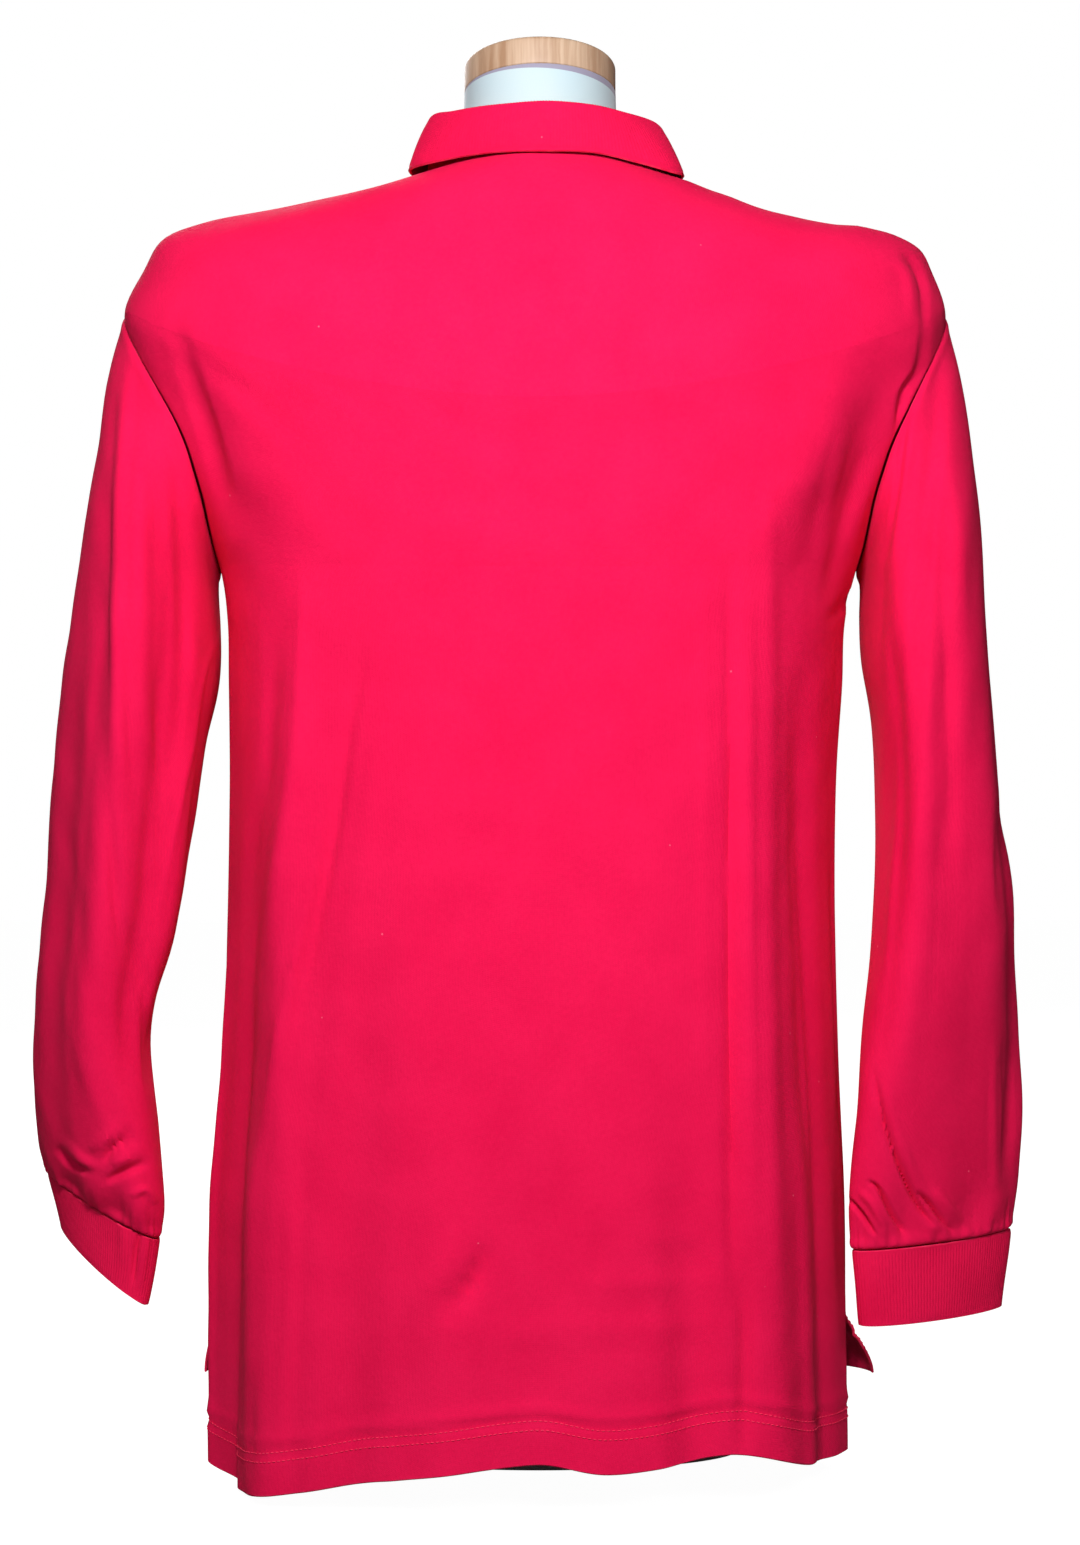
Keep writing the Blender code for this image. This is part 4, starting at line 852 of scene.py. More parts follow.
def wood_material():
    """Pale glued wood: upright strips of unlike tone with fine grain."""
    made, tree, shader = new_material("pale_wood_grain", (0.70, 0.46, 0.29), 0.5)
    n = Nodes(tree)
    place = n.add("ShaderNodeTexCoord").outputs["Object"]
    bars = n.add("ShaderNodeSeparateXYZ")
    n.link(place, bars.inputs[0])
    wobble = n.math("MULTIPLY", n.noise(place, 60, 2), 0.0022)
    across = n.math("ADD", bars.outputs[0], wobble)
    flat = n.add("ShaderNodeCombineXYZ")
    n.link(across, flat.inputs[0])
    n.link(n.math("MULTIPLY", bars.outputs[1], 0.10), flat.inputs[1])
    n.link(n.math("MULTIPLY", bars.outputs[2], 0.03), flat.inputs[2])
    rings = n.noise(flat.outputs[0], 210, 3, 0.6)
    broad = n.noise(flat.outputs[0], 70, 2, 0.5)
    tone = n.math("ADD", n.math("MULTIPLY", rings, 0.6), n.math("MULTIPLY", broad, 0.4))
    tone = n.ranged(tone, 0.38, 0.62, 0, 1)
    base = n.mix(tone, (0.33, 0.19, 0.11, 1), (0.58, 0.42, 0.30, 1))
    pores = n.noise(flat.outputs[0], 900, 2, 0.7)
    base = n.mix(n.ranged(pores, 0.55, 0.75, 0, 0.30), base, (0.24, 0.13, 0.07, 1))
    n.link(base, shader.inputs["Base Color"])
    n.link(n.ranged(rings, 0.3, 0.7, 0.42, 0.60), shader.inputs["Roughness"])
    n.link(n.bump(tone, 0.0004, 0.25), shader.inputs["Normal"])
    return made


def cover_material():
    """The form's smooth white jersey cover, a little blue."""
    made, tree, shader = new_material("form_jersey", (0.80, 0.87, 0.90), 0.8, 0.2)
    n = Nodes(tree)
    place = n.add("ShaderNodeTexCoord").outputs["Object"]
    tone = n.ranged(n.noise(place, 14, 2), 0.35, 0.65, 0, 1)
    base = n.mix(tone, (0.43, 0.55, 0.60, 1), (0.47, 0.55, 0.55, 1))
    weave = n.noise(place, 1500, 2)
    base = n.mix(n.ranged(weave, 0.4, 0.7, 0, 0.12), base, (0.44, 0.52, 0.60, 1))
    at = n.add("ShaderNodeSeparateXYZ")
    n.link(place, at.inputs[0])
    # A shadow band lies on the neck below the cap
    slope = math.tan(NECK_LEAN)
    cap_seat = (NECK[0].z + HANG - NECK[0].centre_y * slope) * MM
    up = n.math("SUBTRACT", at.outputs[2], n.math("MULTIPLY", at.outputs[1], slope))
    below = n.math("SUBTRACT", cap_seat, up)
    taper = n.math("MULTIPLY", at.outputs[0], CAP_SHADE_TAPER)
    band = n.math("LESS_THAN", below, n.math("SUBTRACT", CAP_SHADE_WIDTH, taper))
    base = n.mix(band, base, (0.26, 0.24, 0.32, 1))
    n.link(base, shader.inputs["Base Color"])
    n.link(n.ranged(weave, 0.3, 0.7, 0.72, 0.9), shader.inputs["Roughness"])
    n.link(n.bump(weave, 0.0002, 0.4), shader.inputs["Normal"])
    return made


def paint_material():
    """Satin white paint on steel, slightly orange-peeled, with faint rubbing."""
    made, tree, shader = new_material("white_satin_paint", (0.80, 0.80, 0.79), 0.45)
    n = Nodes(tree)
    place = n.add("ShaderNodeTexCoord").outputs["Object"]
    cloud = n.ranged(n.noise(place, 30, 3), 0.35, 0.65, 0, 1)
    base = n.mix(cloud, (0.74, 0.74, 0.73, 1), (0.82, 0.82, 0.81, 1))
    n.link(base, shader.inputs["Base Color"])
    n.link(n.ranged(n.noise(place, 90, 3), 0.3, 0.7, 0.36, 0.55), shader.inputs["Roughness"])
    n.link(n.bump(n.noise(place, 700, 2), 0.0002, 0.25), shader.inputs["Normal"])
    return made


def plastic_material():
    """Glossy red polyester, slightly clouded."""
    made, tree, shader = new_material("button_polyester", (0.50, 0.010, 0.045), 0.28)
    shader.inputs["Coat Weight"].default_value = 0.5
    shader.inputs["Coat Roughness"].default_value = 0.12
    n = Nodes(tree)
    place = n.add("ShaderNodeTexCoord").outputs["Object"]
    cloud = n.ranged(n.noise(place, 260, 3), 0.35, 0.65, 0, 1)
    n.link(n.mix(cloud, (0.42, 0.008, 0.036, 1), (0.62, 0.016, 0.07, 1)), shader.inputs["Base Color"])
    n.link(n.ranged(n.noise(place, 900, 2), 0.3, 0.7, 0.22, 0.38), shader.inputs["Roughness"])
    return made


KNIT = knit_material(
    "red_jersey", (0.78, 0.006, 0.071), (0.83, 0.007, 0.078), (0.74, 0.004, 0.063), 0.0009, 0.0011
)
RIBBED = knit_material(
    "red_rib_knit", (0.76, 0.006, 0.066), (0.81, 0.007, 0.073), (0.71, 0.004, 0.058), 0.0010, 0.0012, True
)
THREAD = knit_material(
    "red_thread", (0.93, 0.03, 0.11), (0.96, 0.05, 0.14), (0.90, 0.03, 0.10), 0.0003, 0.0004
)
WOOD, COVER, PAINT, PLASTIC = wood_material(), cover_material(), paint_material(), plastic_material()


# Cloth pieces
def panel_rows():
    """Fine rows of a panel and the angle of its side edge on each."""
    turns = np.linspace(0, np.pi, 74)
    hole_angles, hole_rows = armhole(turns, SEAM_GAP)
    above = np.linspace(0, 6.86, 40)
    below = np.concatenate(
        [np.linspace(12.12, 20, 66), np.linspace(20, 21, 22)[1:-1], [20.985, 21.0]]
    )
    rows = np.concatenate([above, hole_rows, below])
    return rows, np.concatenate([np.zeros(len(above)), hole_angles, np.zeros(len(below))])


def edge_shares(count):
    """Shares from 0 to 1 across a panel, closer together beside its edges."""
    close = np.array([0, 0.0015, 0.0035, 0.0065, 0.011])
    middle = np.linspace(0.0165, 1 - 0.0165, count)
    return np.concatenate([close, middle, 1 - close[::-1]])


def panel_points(name, side, angles, rows):
    """A panel's outer points and normals with all its creases."""
    points, normals = shirt(angles, rows, side), shirt_normals(angles, rows, side)
    across = lengths(points, 1)
    down = lengths(points, 0)
    from_edge = np.minimum(across, across[:, -1:] - across)
    height = ripple(across, down, 3 + side) * 0.55 * ease(from_edge / 40)
    fade = ease(from_edge / 7)
    height = height + stroke_height(name, points) * fade
    to_hem = (down[-1:] - down) * np.ones_like(rows)
    height = height + hem_height(to_hem, across, rows)
    height = height - 0.55 * np.exp(-((from_edge / 2.0) ** 2)) * (rows < VENT_TOP)
    points = points + normals * height[..., None]
    if side == BACK:
        points[..., 1] -= side_turn(points) * ease(from_edge / 45)
    return points, normals, to_hem


def side_turn(points):
    """How far forward the back's sides lie, in millimetres, so that they turn away from the camera."""
    across, down = in_frame(points)
    table = np.array(SIDE_TURNS, float)
    left_outer, left_inner, right_inner, right_outer, depth = (
        np.interp(down, table[:, 0], table[:, k]) for k in range(1, 6)
    )
    left = np.clip((left_inner - across) / (left_inner - left_outer), 0, 1)
    right = np.clip((across - right_inner) / (right_outer - right_inner), 0, 1)
    return depth * (left**1.5 + right**1.5)


def hem_height(to_hem, across, rows):
    """The turned-up hem is a little thicker below its stitch line, which draws the cloth in."""
    thick = 0.6 * ease((HEM_TURN + 1.5 - to_hem) / 3.0)
    groove = -1.0 * np.exp(-(((to_hem - HEM_TURN - 1) / 1.6) ** 2))
    above = 1.1 * np.exp(-(((to_hem - HEM_TURN - 6) / 4.0) ** 2))
    pucker = 0.16 * np.sin(across * 2 * np.pi / 9.5) * np.exp(-(((to_hem - HEM_TURN) / 7) ** 2))
    return (thick + groove + above + pucker) * (rows > 18)


def panel_angles(side, rows, edges, shares):
    reach = np.abs(column(BODY, ("back" if side == BACK else "front") + "_y", rows))
    edges = np.maximum(edges, SEAM_GAP / 2 / reach)[:, None]
    angles = np.pi * shares * np.ones_like(edges)
    return angles, edges


def make_room(angles, edges):
    left_room = np.clip(1 - angles / EDGE_REACH, 0, 1)
    right_room = np.clip(1 - (np.pi - angles) / EDGE_REACH, 0, 1)
    return angles + edges * (left_room - right_room)


def make_back():
    rows, edges = panel_rows()
    angles, edges = panel_angles(BACK, rows, edges, edge_shares(180)[None, :])
    angles = make_room(angles, edges)
    grid_rows = np.repeat(rows[:, None], angles.shape[1], axis=1)
    points, normals, to_hem = panel_points("back_panel", BACK, angles, grid_rows)
    made = shell("back_panel_knit", points, normals, CLOTH, KNIT)
    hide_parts("back_panel")
    return made, points, normals, to_hem


def make_front():
    rows, edges = panel_rows()
    half = 92
    shares = edge_shares(2 * half - 9)[None, :half]
    angles, edges = panel_angles(FRONT, rows, edges, shares)
    left = angle_at(PLACKET_WIDTH / 2, rows)[:, None]
    right = angle_at(-PLACKET_WIDTH / 2, rows)[:, None]
    beside = shares / shares[:, -1:]
    other = np.pi + (right - np.pi) * beside[:, ::-1]
    between = left + (right - left) * np.linspace(0, 1, 13)[None, 1:-1]
    angles = make_room(np.concatenate([left * beside, between, other], axis=1), edges)
    grid_rows = np.repeat(rows[:, None], angles.shape[1], axis=1)
    points, normals, to_hem = panel_points("front_panel", FRONT, angles, grid_rows)
    keep = np.ones((len(rows) - 1, angles.shape[1] - 1), bool)
    slot_low = int(np.searchsorted(rows, PLACKET_ROW_LOW)) - 1
    keep[:slot_low, half - 1 : half + 11] = False
    made = shell("front_panel_knit", points, normals, CLOTH, KNIT, keep=keep)
    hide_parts("front_panel")
    return made, points, normals, to_hem, rows[slot_low]


def line_across(points, normals, to_hem, level, lift):
    """A line over a panel at one distance from its hem."""
    found, ups = [], []
    for j in range(EDGE_COLUMNS, points.shape[1] - EDGE_COLUMNS):
        order = to_hem[::-1, j]
        place = [np.interp(level, order, points[::-1, j, k]) for k in range(3)]
        up = [np.interp(level, order, normals[::-1, j, k]) for k in range(3)]
        found.append(place)
        ups.append(up)
    found, ups = np.array(found), unit(np.array(ups))
    return found + ups * lift, ups


def vent_lines(points, normals, to_hem):
    """Lines down a panel beside its two vents."""
    low = int(np.searchsorted(-to_hem[:, 0], -70))
    lines = []
    for column_at in (EDGE_COLUMNS, points.shape[1] - 1 - EDGE_COLUMNS):
        some = slice(low, points.shape[0] - 2)
        lines.append((points[some, column_at] + normals[some, column_at] * 0.1, normals[some, column_at]))
    return lines


def make_placket(low_row):
    bands = {}
    for name, half, lift, low in (
        ("placket_under", PLACKET_WIDTH / 2 - SEAM_GAP, -UNDER_DROP, low_row - SEAM_GAP / 28),
        ("placket_over", PLACKET_WIDTH / 2 + PLACKET_LAP, SEAM_GAP + CLOTH, low_row + 0.1),
    ):
        rows = np.linspace(0, low, 120)
        row = rows[:, None] * np.ones((1, 30))
        x = np.linspace(half, -half, 30)[None, :] * np.ones((len(rows), 1))
        angle = angle_at(x, row)
        normals = shirt_normals(angle, row, FRONT)
        across = np.abs(x)
        # Only the band that shows has a ridge at its edge and a groove under its stitches
        seen = name == "placket_over"
        height = lift + seen * 0.25 * np.exp(-(((across - half + 1.5) / 1.5) ** 2))
        height = height - seen * 0.35 * np.exp(-(((across - half + 4.0) / 1.2) ** 2))
        plain = shirt(angle, row, FRONT)
        height = height + 0.12 * ripple(x * 3, lengths(plain, 0), 9)
        points = plain + normals * height[..., None]
        made = shell(name + "_knit", points, normals, CLOTH, KNIT)
        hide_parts(name)
        bands[name] = made, points, normals
    return bands


def make_sleeve(side):
    turns = np.linspace(0, 2 * np.pi, 224, endpoint=False)
    last = len(SLEEVES[side]) - 1
    rows = np.concatenate(
        [
            [0, 0.02, 0.05, 0.09],
            np.linspace(0.14, 2.2, 34),
            np.linspace(2.2, 8.4, 66)[1:],
            np.linspace(8.4, last, 50)[1:],
        ]
    )
    turn, row = np.meshgrid(turns, rows)
    points = sleeve(side, turn, row)
    normals = -normals_of(lambda t, r: sleeve(side, t, r), turn, row, last)
    around, down = lengths(points, 1), lengths(points, 0)
    to_cuff = down[-1:] - down
    seen = mirrored(points, side)
    behind = ease(np.sin(turn) * 3 + 0.5)
    height = stroke_height(f"{side}_sleeve", seen) * behind
    height = height + stroke_height(f"{side}_sleeve_front", seen) * (1 - behind)
    height = height * ease(down / 8) * ease(to_cuff / 3 + 0.25)
    loop = np.sin(turn) * 60, np.cos(turn) * 40 + down
    height = height + ripple(loop[0], loop[1], 21 if side == "left" else 34) * 0.7 * ease(down / 30)
    fine = np.cos(27 * turn + 2.0 * np.sin(3 * turn)) + 0.6 * np.cos(41 * turn + 1.3)
    height = height + 0.42 * fine * np.exp(-((to_cuff / 12) ** 2)) * ease(to_cuff / 2)
    height = height - 0.6 * np.exp(-((down / 2.2) ** 2)) + 0.5 * np.exp(-(((down - 5) / 3) ** 2))
    height = height + 0.6 * np.exp(-(((to_cuff - 3) / 3) ** 2)) - 0.5 * np.exp(-((to_cuff / 1.2) ** 2))
    points = points + normals * height[..., None]
    made = shell(
        f"{side}_sleeve_knit", mirrored(points, side), mirrored(normals, side), CLOTH, KNIT, closed=True
    )
    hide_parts(f"{side}_sleeve")
    return made


def rib_wave(far, pitch):
    """The height of ribs over a length, from 0 in the grooves to 1 on the ribs."""
    return np.abs(np.cos(np.pi * far / pitch)) ** 0.7


def make_cuff(side):
    rings = CUFFS[side]
    around = sleeve_ring(rings, np.linspace(0, 2 * np.pi, 400), np.ones(400))
    girth = lengths(around[None], 1)[0]
    ribs = int(round(girth[-1] / RIB_PITCH))
    even = np.linspace(0, girth[-1], ribs * 6, endpoint=False)
    turns = np.interp(even, girth, np.linspace(0, 2 * np.pi, 400))
    rows = np.concatenate([[0, 0.02, 0.05], np.linspace(0.1, 1.9, 16), [1.95, 1.98, 2.0]])
    turn, row = np.meshgrid(turns, rows)
    points = sleeve_ring(rings, turn, row)
    normals = -normals_of(lambda t, r: sleeve_ring(rings, t, r), turn, row, len(rings) - 1)
    points[..., 2] -= SEAM_GAP
    down = lengths(points, 0)
    wave = rib_wave(even[None, :] * np.ones_like(row), girth[-1] / ribs)
    ends = ease(down / 2.5) * ease((down[-1:] - down) / 3.5)
    height = (wave - 1) * RIB_DEPTH * (0.25 + 0.75 * ends)
    height = height + 0.5 * ripple(np.sin(turn) * 50, np.cos(turn) * 40 + down, 5) * ends
    height = height - 0.35 * np.exp(-((down / 1.3) ** 2))
    height = height + stroke_height(f"{side}_cuff", mirrored(points, side)) * (np.sin(turn) > 0)
    points = points + normals * height[..., None]
    made = shell(
        f"{side}_cuff_rib", mirrored(points, side), mirrored(normals, side), RIB, RIBBED, closed=True
    )
    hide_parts(f"{side}_cuff")
    return made


def collar_line(angle, side, degrees):
    rows = COLLAR["left" if angle < math.pi / 2 else "right"]

    def value(name):
        return float(column_by(rows, "degrees", name, degrees))

    def point_on(a, row):
        return shirt(np.array(a), np.array(row), side)

    seam = point_on(angle, 0.0)
    normal = shirt_normals(np.array(angle), np.array(0.0), side)
    along = unit(seam - point_on(angle, 0.05))
    around = point_on(angle + 0.01, 0.0) - point_on(angle - 0.01, 0.0)
    out = unit(np.cross(around * np.array([1, 1, 0]), [0, 0, 1])) * side
    up = np.array([0, 0, 1.0])
    rise = value("stand") - COLLAR_FOLD
    base = seam + along * SEAM_GAP - normal * CLOTH
    line = [base + (out * value("lean") + up * rise) * t for t in (0.0, 0.45, 1.0)]
    top = line[-1]
    for turn in (50, 90, 130, 165):
        a = math.radians(turn)
        line.append(top + out * (COLLAR_FOLD * (1 - math.cos(a))) + up * (COLLAR_FOLD * math.sin(a)))
    sweep = math.radians(value("sweep")) * (1 if angle < math.pi / 2 else -1)
    edge_angle = min(max(angle - sweep, 0.0), math.pi) if side == FRONT else angle
    edge_row = value("edge_row")
    edge = point_on(edge_angle, edge_row)
    edge = edge + shirt_normals(np.array(edge_angle), np.array(edge_row), side) * value("lift")
    start = line[-1]
    pull = start + (edge - start) * 0.4 + out * 2.5
    for t in (0.3, 0.65, 1.0):
        line.append(start * (1 - t) ** 2 + pull * 2 * t * (1 - t) + edge * t**2)
    return np.array(line), normal


def make_collar():
    ends = [float(angle_at(x, 0)) for x in (COLLAR_END_X, -COLLAR_END_X)]
    stations = [(a, FRONT, 90 + math.degrees(a)) for a in np.linspace(ends[0], 0.03, 30)]
    stations += [(a, BACK, abs(90 - math.degrees(a))) for a in np.linspace(0.005, np.pi - 0.005, 60)]
    stations += [(a, FRONT, 270 - math.degrees(a)) for a in np.linspace(np.pi - 0.03, ends[1], 30)]
    faces, seam_normals = zip(*[collar_line(*station) for station in stations])
    face = np.array(faces)
    girth = lengths(face[:, 5][None], 1)[0]
    ribs = int(round(girth[-1] / RIB_PITCH * 1.12))
    even = np.linspace(0, girth[-1], ribs * 4 + 1)
    fine = smooth(face, np.interp(even, girth, np.arange(len(girth))))
    seam_out = smooth(np.array(seam_normals), np.interp(even, girth, np.arange(len(girth))))
    across = np.concatenate(
        [np.linspace(0, 2, 6), np.linspace(2, 6, 11)[1:], np.linspace(6, 8.7, 12)[1:], [8.85, 8.95, 9.0]]
    )
    fine = np.stack([smooth(line, across) for line in fine])
    normals = unit(np.cross(np.gradient(fine, axis=0), np.gradient(fine, axis=1)))
    if (normals[:, 0] * seam_out).sum() < 0:
        normals = -normals
    normals[:, 0] = unit(seam_out)
    far = lengths(fine, 1)
    to_edge = far[:, -1:] - far
    wave = rib_wave(even[:, None] * np.ones_like(far), girth[-1] / ribs)
    calm = ease(far / 3) * ease((to_edge - 2.0) / 1.5)
    height = (wave - 1) * RIB_DEPTH * 0.8 * calm
    height = height + 0.25 * np.exp(-(((to_edge - 1.2) / 1.1) ** 2))
    height = height + 0.5 * ripple(even[:, None], far, 12) * ease(far / 20) * ease(to_edge / 8)
    outer = fine + normals * (RIB + height)[..., None]
    made = shell("collar_rib", outer, normals, RIB, RIBBED)
    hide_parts("collar")
    return made


def lathe(profile, sides):
    """Points and faces of a turned solid about Z. The profile's first and last points are on the axis."""
    turn = np.linspace(0, 2 * np.pi, sides, endpoint=False)
    points = [(0, 0, profile[0][1])]
    for radius, z in profile[1:-1]:
        points += [(radius * math.cos(t), radius * math.sin(t), z) for t in turn]
    points.append((0, 0, profile[-1][1]))
    faces = []
    for j in range(sides):
        k = (j + 1) % sides
        faces.append((0, 1 + j, 1 + k))
        for i in range(len(profile) - 3):
            a = 1 + i * sides
            faces.append((a + j, a + sides + j, a + sides + k, a + k))
        a = 1 + (len(profile) - 3) * sides
        faces.append((a + k, a + j, len(points) - 1))
    return np.array(points, float), faces


def ellipse_lathe(profile, sides, stretch, place):
    points, faces = lathe(profile, sides)
    return points * np.array(stretch) + np.array(place), faces


def rod(start, end, radius, sides=8):
    """A short rounded thread between two points."""
    start, end = np.array(start, float), np.array(end, float)
    along = unit(end - start)
    side = unit(np.cross(along, [0.3, 0.9, 0.2]))
    other = np.cross(along, side)
    turn = np.linspace(0, 2 * np.pi, sides, endpoint=False)
    ring = side * np.cos(turn)[:, None] + other * np.sin(turn)[:, None]
    points = np.concatenate([start + ring * radius, end + ring * radius])
    faces = [(j, (j + 1) % sides, sides + (j + 1) % sides, sides + j) for j in range(sides)]
    faces += [tuple(range(sides))[::-1], tuple(range(sides, 2 * sides))]
    return points, faces


def make_buttons():
    radius, height = BUTTON_RADIUS, BUTTON_HEIGHT
    profile = [
        (0, height * 0.60),
        (radius * 0.40, height * 0.60),
        (radius * 0.56, height * 0.63),
        (radius * 0.66, height * 0.84),
        (radius * 0.76, height),
        (radius * 0.88, height * 0.98),
        (radius * 0.97, height * 0.84),
        (radius, height * 0.60),
        (radius * 0.97, height * 0.34),
        (radius * 0.84, 0.06),
        (radius * 0.78, 0),
        (0, 0),
    ]
    points, faces = lathe(profile, 48)
    hole = HOLE_OFFSET
    for number, row in enumerate(BUTTON_ROWS, 1):
        angle, at = np.array(math.pi / 2), np.array(row)
        normal = shirt_normals(angle, at, FRONT)
        seat = shirt(angle, at, FRONT) + normal * (2 * SEAM_GAP + CLOTH + 0.1)
        turn = np.array(Vector(normal).to_track_quat("Z", "Y").to_matrix())
        button = mesh_piece(f"button_{number}_body", points @ turn.T + seat, faces, PLASTIC)
        drills = []
        for x, y in ((hole, hole), (-hole, hole), (-hole, -hole), (hole, -hole)):
            drill_points, drill_faces = rod((x, y, -2), (x, y, 5), HOLE_RADIUS, 14)
            drills.append((drill_points @ turn.T + seat, drill_faces))
        drill = joined(f"drill_{number}", [d[0] for d in drills], [d[1] for d in drills], PLASTIC)
        cut_holes(button, drill)
        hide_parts(f"button_{number}")
        strands = []
        bow = height * 0.60
        for y in (hole, -hole):
            for shift in (-0.22, 0.0, 0.22):
                line = [(-hole, y + shift, bow - 1.0), (-0.85, y + shift, bow + 0.22)]
                line += [(0.85, y + shift, bow + 0.22), (hole, y + shift, bow - 1.0)]
                for a, b in zip(line, line[1:]):
                    strand_points, strand_faces = rod(a, b, THREAD_RADIUS)
                    strands.append((strand_points @ turn.T + seat, strand_faces))
        thread = joined(
            f"button_{number}_thread", [s[0] for s in strands], [s[1] for s in strands], THREAD
        )


def cut_holes(thing, cutter):
    """Cuts one object's shape out of another and leaves a plain mesh."""
    cut = thing.modifiers.new("holes", "BOOLEAN")
    cut.operation = "DIFFERENCE"
    cut.solver = "EXACT"
    cut.object = cutter
    shown = thing.evaluated_get(bpy.context.evaluated_depsgraph_get())
    data = bpy.data.meshes.new_from_object(shown)
    thing.modifiers.clear()
    thing.data = data
    data.shade_smooth()
    data.set_sharp_from_angle(angle=math.radians(35))
    bpy.data.objects.remove(cutter)


def make_buttonholes():
    """Close satin stitches round an upright slit under each button."""
    strands = []
    for row in BUTTON_ROWS:
        angle, at = np.array(math.pi / 2), np.array(row)
        normal = shirt_normals(angle, at, FRONT)
        below = unit(shirt(angle, at + 0.05, FRONT) - shirt(angle, at, FRONT))
        side = np.cross(normal, below)
        seat = shirt(angle, at, FRONT) + normal * (SEAM_GAP + CLOTH + BUTTONHOLE_LIFT)
        for step in np.arange(-8.6, 8.7, 0.42):
            for way in (-1, 1):
                start = seat + below * step + side * way * 0.25
                end = seat + below * step + side * way * (1.7 if abs(step) < 7.6 else 1.3)
                strands.append(rod(start, end, THREAD_RADIUS, 5))
        for step in (-8.8, 8.8):
            for shift in (-0.3, 0, 0.3):
                start = seat + below * (step + shift) + side * 1.7
                strands.append(rod(start, start - side * 3.4, 0.19, 5))
    made = joined("buttonhole_stitches", [s[0] for s in strands], [s[1] for s in strands], THREAD)


# The dress form and its stand
def make_form():
    around = np.linspace(0, 2 * np.pi, 120, endpoint=False)
    side = np.where(np.sin(around) >= 0, BACK, FRONT)
    angle = np.where(side == BACK, around, 2 * np.pi - around)
    rings = []
    for at in np.linspace(0, len(NECK) - 1, 16):
        centre_y, z = column(NECK, "centre_y", at), column(NECK, "z", at)
        x = column(NECK, "radius_x", at) * np.cos(around)
        y = column(NECK, "radius_y", at) * np.sin(around)
        rings.append(np.stack([x, centre_y + y, z + y * math.tan(NECK_LEAN)], -1))
    for at in np.concatenate([[0], np.linspace(0.2, 19.6, 70)]):
        row = np.full(angle.shape, at)
        across = np.sin(angle) ** 2
        ring = np.zeros((len(around), 3))
        for half in (BACK, FRONT):
            end = column_by(FORM, "row", "back" if half == BACK else "front", at)
            inside = column_by(FORM, "row", "side", at) * (1 - across) + end * across
            points = body(angle, row, half) - outward(angle, row, half) * (CLOTH + inside)[:, None]
            ring = np.where((side == half)[:, None], points, ring)
        if at == 0:
            rings.append((rings[-1] + ring) / 2 * np.array([0.93, 0.94, 1]))
        rings.append(ring)
    last = rings[-1]
    flat = np.array([0, 0, FORM_BOTTOM_Z])
    rings.append(last * np.array([0.97, 0.97, 0]) + flat + np.array([0, 0, 8]))
    rings.append(last * np.array([0.94, 0.94, 0]) + flat + np.array([0, 0, 2.5]))
    rings.append(last * np.array([0.9, 0.9, 0]) + flat)
    grid = np.array(rings)
    count, sides = grid.shape[:2]
    index = np.arange(count * sides).reshape(count, sides)
    following = np.roll(index, -1, axis=1)
    faces = np.stack([index[:-1], index[1:], following[1:], following[:-1]], -1).reshape(-1, 4).tolist()
    faces += [index[0].tolist()[::-1], index[-1].tolist()]
    made = mesh_piece("form_cover", grid.reshape(-1, 3), faces, COVER)
    turn_right(made)
    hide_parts("form_body")


def turn_right(made):
    """Makes a closed mesh's faces point outwards."""
    mesh = bmesh.new()
    mesh.from_mesh(made.data)
    bmesh.ops.recalc_face_normals(mesh, faces=mesh.faces)
    mesh.to_mesh(made.data)
    mesh.free()


def leaned(points, seat):
    """Points turned to the neck's lean about the X axis and moved to their seat."""
    c, s = math.cos(NECK_LEAN), math.sin(NECK_LEAN)
    turn = np.array([[1, 0, 0], [0, c, -s], [0, s, c]])
    return points @ turn.T + np.array(seat)


def make_cap():
    top = NECK[0]
    lean = np.array([0, -math.sin(NECK_LEAN), math.cos(NECK_LEAN)])
    seat = np.array([0, top.centre_y, top.z]) + lean * SEAM_GAP
    round_it = [(math.sin(a), math.cos(a)) for a in np.radians(np.linspace(0, 90, 7))]
    profile = [(0, CAP_HEIGHT), (CAP_RADIUS - 8, CAP_HEIGHT)]
    profile += [(CAP_RADIUS - 3 + 3 * s, CAP_HEIGHT - 3 + 3 * c) for s, c in round_it]
    profile += [(CAP_RADIUS, 10), (CAP_RADIUS, 6)]
    profile += [(CAP_RADIUS - 1.2 + 1.2 * c, 1.2 - 1.2 * s) for s, c in round_it]
    profile += [(CAP_RADIUS - 8, 0), (0, 0)]
    points, faces = lathe(profile, 128)
    made = mesh_piece("neck_cap_wood", leaned(points, seat), faces, WOOD)
    turn_right(made)
    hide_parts("neck_cap")


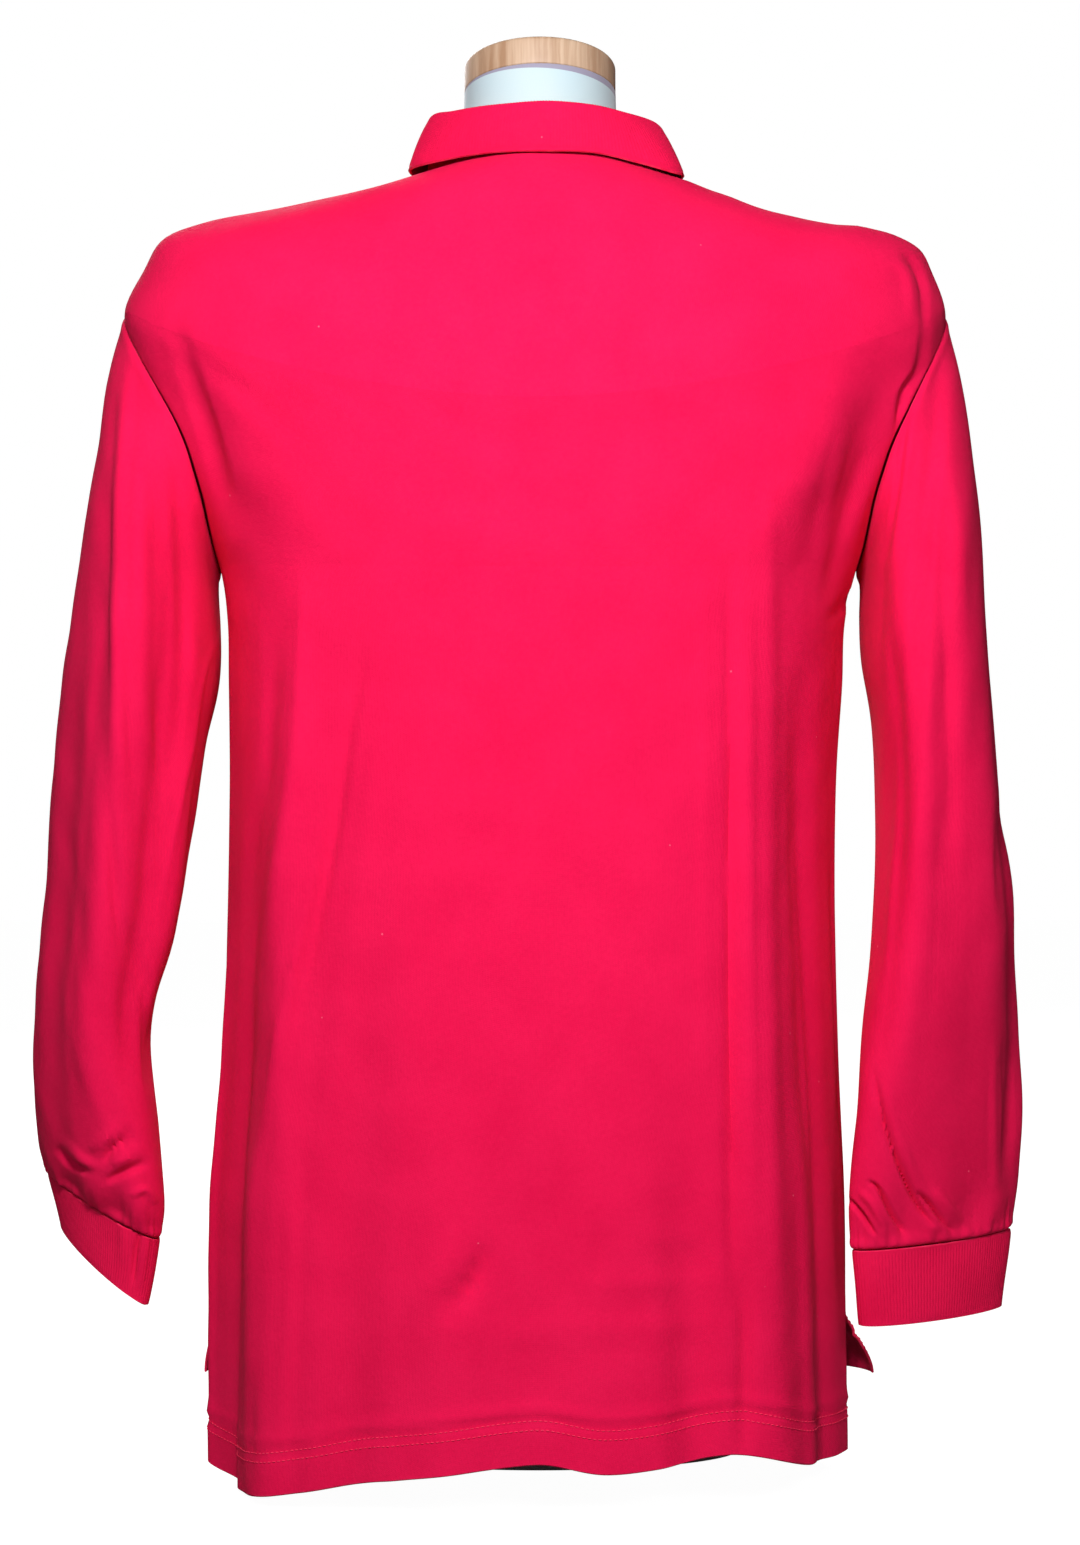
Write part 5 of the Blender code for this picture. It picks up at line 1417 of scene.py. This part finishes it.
def make_stand():
    edge = [(math.sin(a), math.cos(a)) for a in np.radians(np.linspace(0, 90, 6))]
    profile = [(0, BASE_HEIGHT), (0.7, BASE_HEIGHT)]
    profile += [(1 - (3 - 3 * s) / 80, BASE_HEIGHT - 3 + 3 * c) for s, c in edge]
    profile += [(1, 0.8), (1 - 0.8 / 80, 0), (0.6, 0), (0, 0)]
    points, faces = ellipse_lathe(
        profile, 128, (BASE_HALF_WIDTH, BASE_HALF_DEPTH, 1), (0, BASE_CENTRE_Y, -HANG)
    )
    plate = mesh_piece("base_plate_steel", points, faces, PAINT)
    turn_right(plate)
    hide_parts("base_plate")
    low, high = BASE_HEIGHT + SEAM_GAP, FORM_BOTTOM_Z + HANG - SEAM_GAP
    profile = [
        (0, high),
        (POST_RADIUS - 1, high),
        (POST_RADIUS, high - 1),
        (POST_RADIUS, low + 14),
        (POST_RADIUS + 0.3, low + 7),
        (POST_RADIUS + 4, low + 2.4),
        (POST_RADIUS + 8, low + 1.4),
        (POST_RADIUS + 8.6, low + 0.8),
        (POST_RADIUS + 8.6, low),
        (0, low),
    ]
    points, faces = ellipse_lathe(profile, 72, (1, 1, 1), (0, POST_CENTRE_Y, -HANG))
    post = mesh_piece("base_post_steel", points, faces, PAINT)
    turn_right(post)
    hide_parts("base_post")


# Stage, light and camera
def make_stage():
    scene = bpy.context.scene
    data = bpy.data.meshes.new("floor")
    half = 6.0
    data.from_pydata(
        [(-half, -half, 0), (half, -half, 0), (half, half, 0), (-half, half, 0)], [], [(0, 1, 2, 3)]
    )
    floor = bpy.data.objects.new("floor", data)
    floor.location.z = -0.0004
    scene.collection.objects.link(floor)
    made, tree, shader = new_material("pale_floor", (0.20, 0.20, 0.20), 0.8)
    n = Nodes(tree)
    glow = n.add("ShaderNodeEmission")
    glow.inputs["Strength"].default_value = 0.975
    seen = n.add("ShaderNodeLightPath").outputs["Is Camera Ray"]
    dark = n.add("ShaderNodeEmission")
    dark.inputs["Strength"].default_value = 0.0
    lit, whole = n.add("ShaderNodeMixShader"), n.add("ShaderNodeAddShader")
    n.link(seen, lit.inputs[0])
    n.link(dark.outputs[0], lit.inputs[1])
    n.link(glow.outputs[0], lit.inputs[2])
    n.link(shader.outputs[0], whole.inputs[0])
    n.link(lit.outputs[0], whole.inputs[1])
    n.link(whole.outputs[0], tree.nodes["Material Output"].inputs["Surface"])
    data.materials.append(made)
    world = bpy.data.worlds.new("studio")
    world.use_nodes = True
    scene.world = world
    nodes, links = world.node_tree.nodes, world.node_tree.links
    light = nodes["Background"]
    light.inputs["Color"].default_value = (0.97, 0.98, 1.0, 1)
    light.inputs["Strength"].default_value = 0.06
    shown = nodes.new("ShaderNodeBackground")
    shown.inputs["Color"].default_value = (1, 1, 1, 1)
    shown.inputs["Strength"].default_value = 1.0
    path, mixed = nodes.new("ShaderNodeLightPath"), nodes.new("ShaderNodeMixShader")
    links.new(path.outputs["Is Camera Ray"], mixed.inputs[0])
    links.new(light.outputs[0], mixed.inputs[1])
    links.new(shown.outputs[0], mixed.inputs[2])
    links.new(mixed.outputs[0], nodes["World Output"].inputs["Surface"])


def area_light(name, place, target, size, power):
    data = bpy.data.lights.new(name, "AREA")
    data.shape = "DISK"
    data.size = size
    data.energy = power
    lamp = bpy.data.objects.new(name, data)
    lamp.location = place
    lamp.rotation_euler = (Vector(target) - Vector(place)).to_track_quat("-Z", "Y").to_euler()
    bpy.context.scene.collection.objects.link(lamp)


def make_camera():
    scene = bpy.context.scene
    data = bpy.data.cameras.new("camera")
    data.lens = 36 * PIXELS_PER_SLOPE / PIXELS_HIGH
    data.sensor_width = 36
    data.clip_start = 0.05
    camera = bpy.data.objects.new("camera", data)
    camera.location = (0, CAMERA_Y, CAMERA_Z)
    camera.rotation_euler = (math.radians(90), 0, math.radians(180))
    scene.collection.objects.link(camera)
    scene.camera = camera
    scene.view_settings.view_transform = "Standard"
    scene.view_settings.look = "None"


def main():
    make_camera()
    make_stage()
    area_light("key", (0.08, 1.15, 1.14), (0, 0, 0.5), 0.25, 19.5)
    area_light("key_left", (0.75, 1.15, 0.95), (0.22, 0, 0.4), 0.35, 3.0)
    area_light("key_right", (-0.55, 1.20, 0.80), (-0.25, 0, 0.35), 0.30, 4.0)
    area_light("front", (0.5, -1.9, 1.6), (0, 0, 0.5), 1.0, 38)
    back, points, normals, to_hem = make_back()
    front, front_points, front_normals, front_to_hem, slot_low = make_front()
    bands = make_placket(slot_low)
    lines = []
    for grid, ups, level in ((points, normals, to_hem), (front_points, front_normals, front_to_hem)):
        for far in (HEM_TURN, HEM_TURN - 5):
            lines.append(line_across(grid, ups, level, far, 0.12))
        lines += vent_lines(grid, ups, level)
    hem_stitches = stitches("hem_stitches", lines, THREAD)
    over, over_points, over_normals = bands["placket_over"]
    lines = []
    for across in (2, 27):
        lines.append((over_points[:, across] + over_normals[:, across] * 0.1, over_normals[:, across]))
    for down in (-3, -22):
        lines.append((over_points[down, 2:28] + over_normals[down, 2:28] * 0.1, over_normals[down, 2:28]))
    placket_stitches = stitches("placket_stitches", lines, THREAD)
    sleeves = {side: make_sleeve(side) for side in ("left", "right")}
    cuffs = {side: make_cuff(side) for side in ("left", "right")}
    collar = make_collar()
    make_buttons()
    make_buttonholes()
    make_form()
    make_cap()
    make_stand()


main()
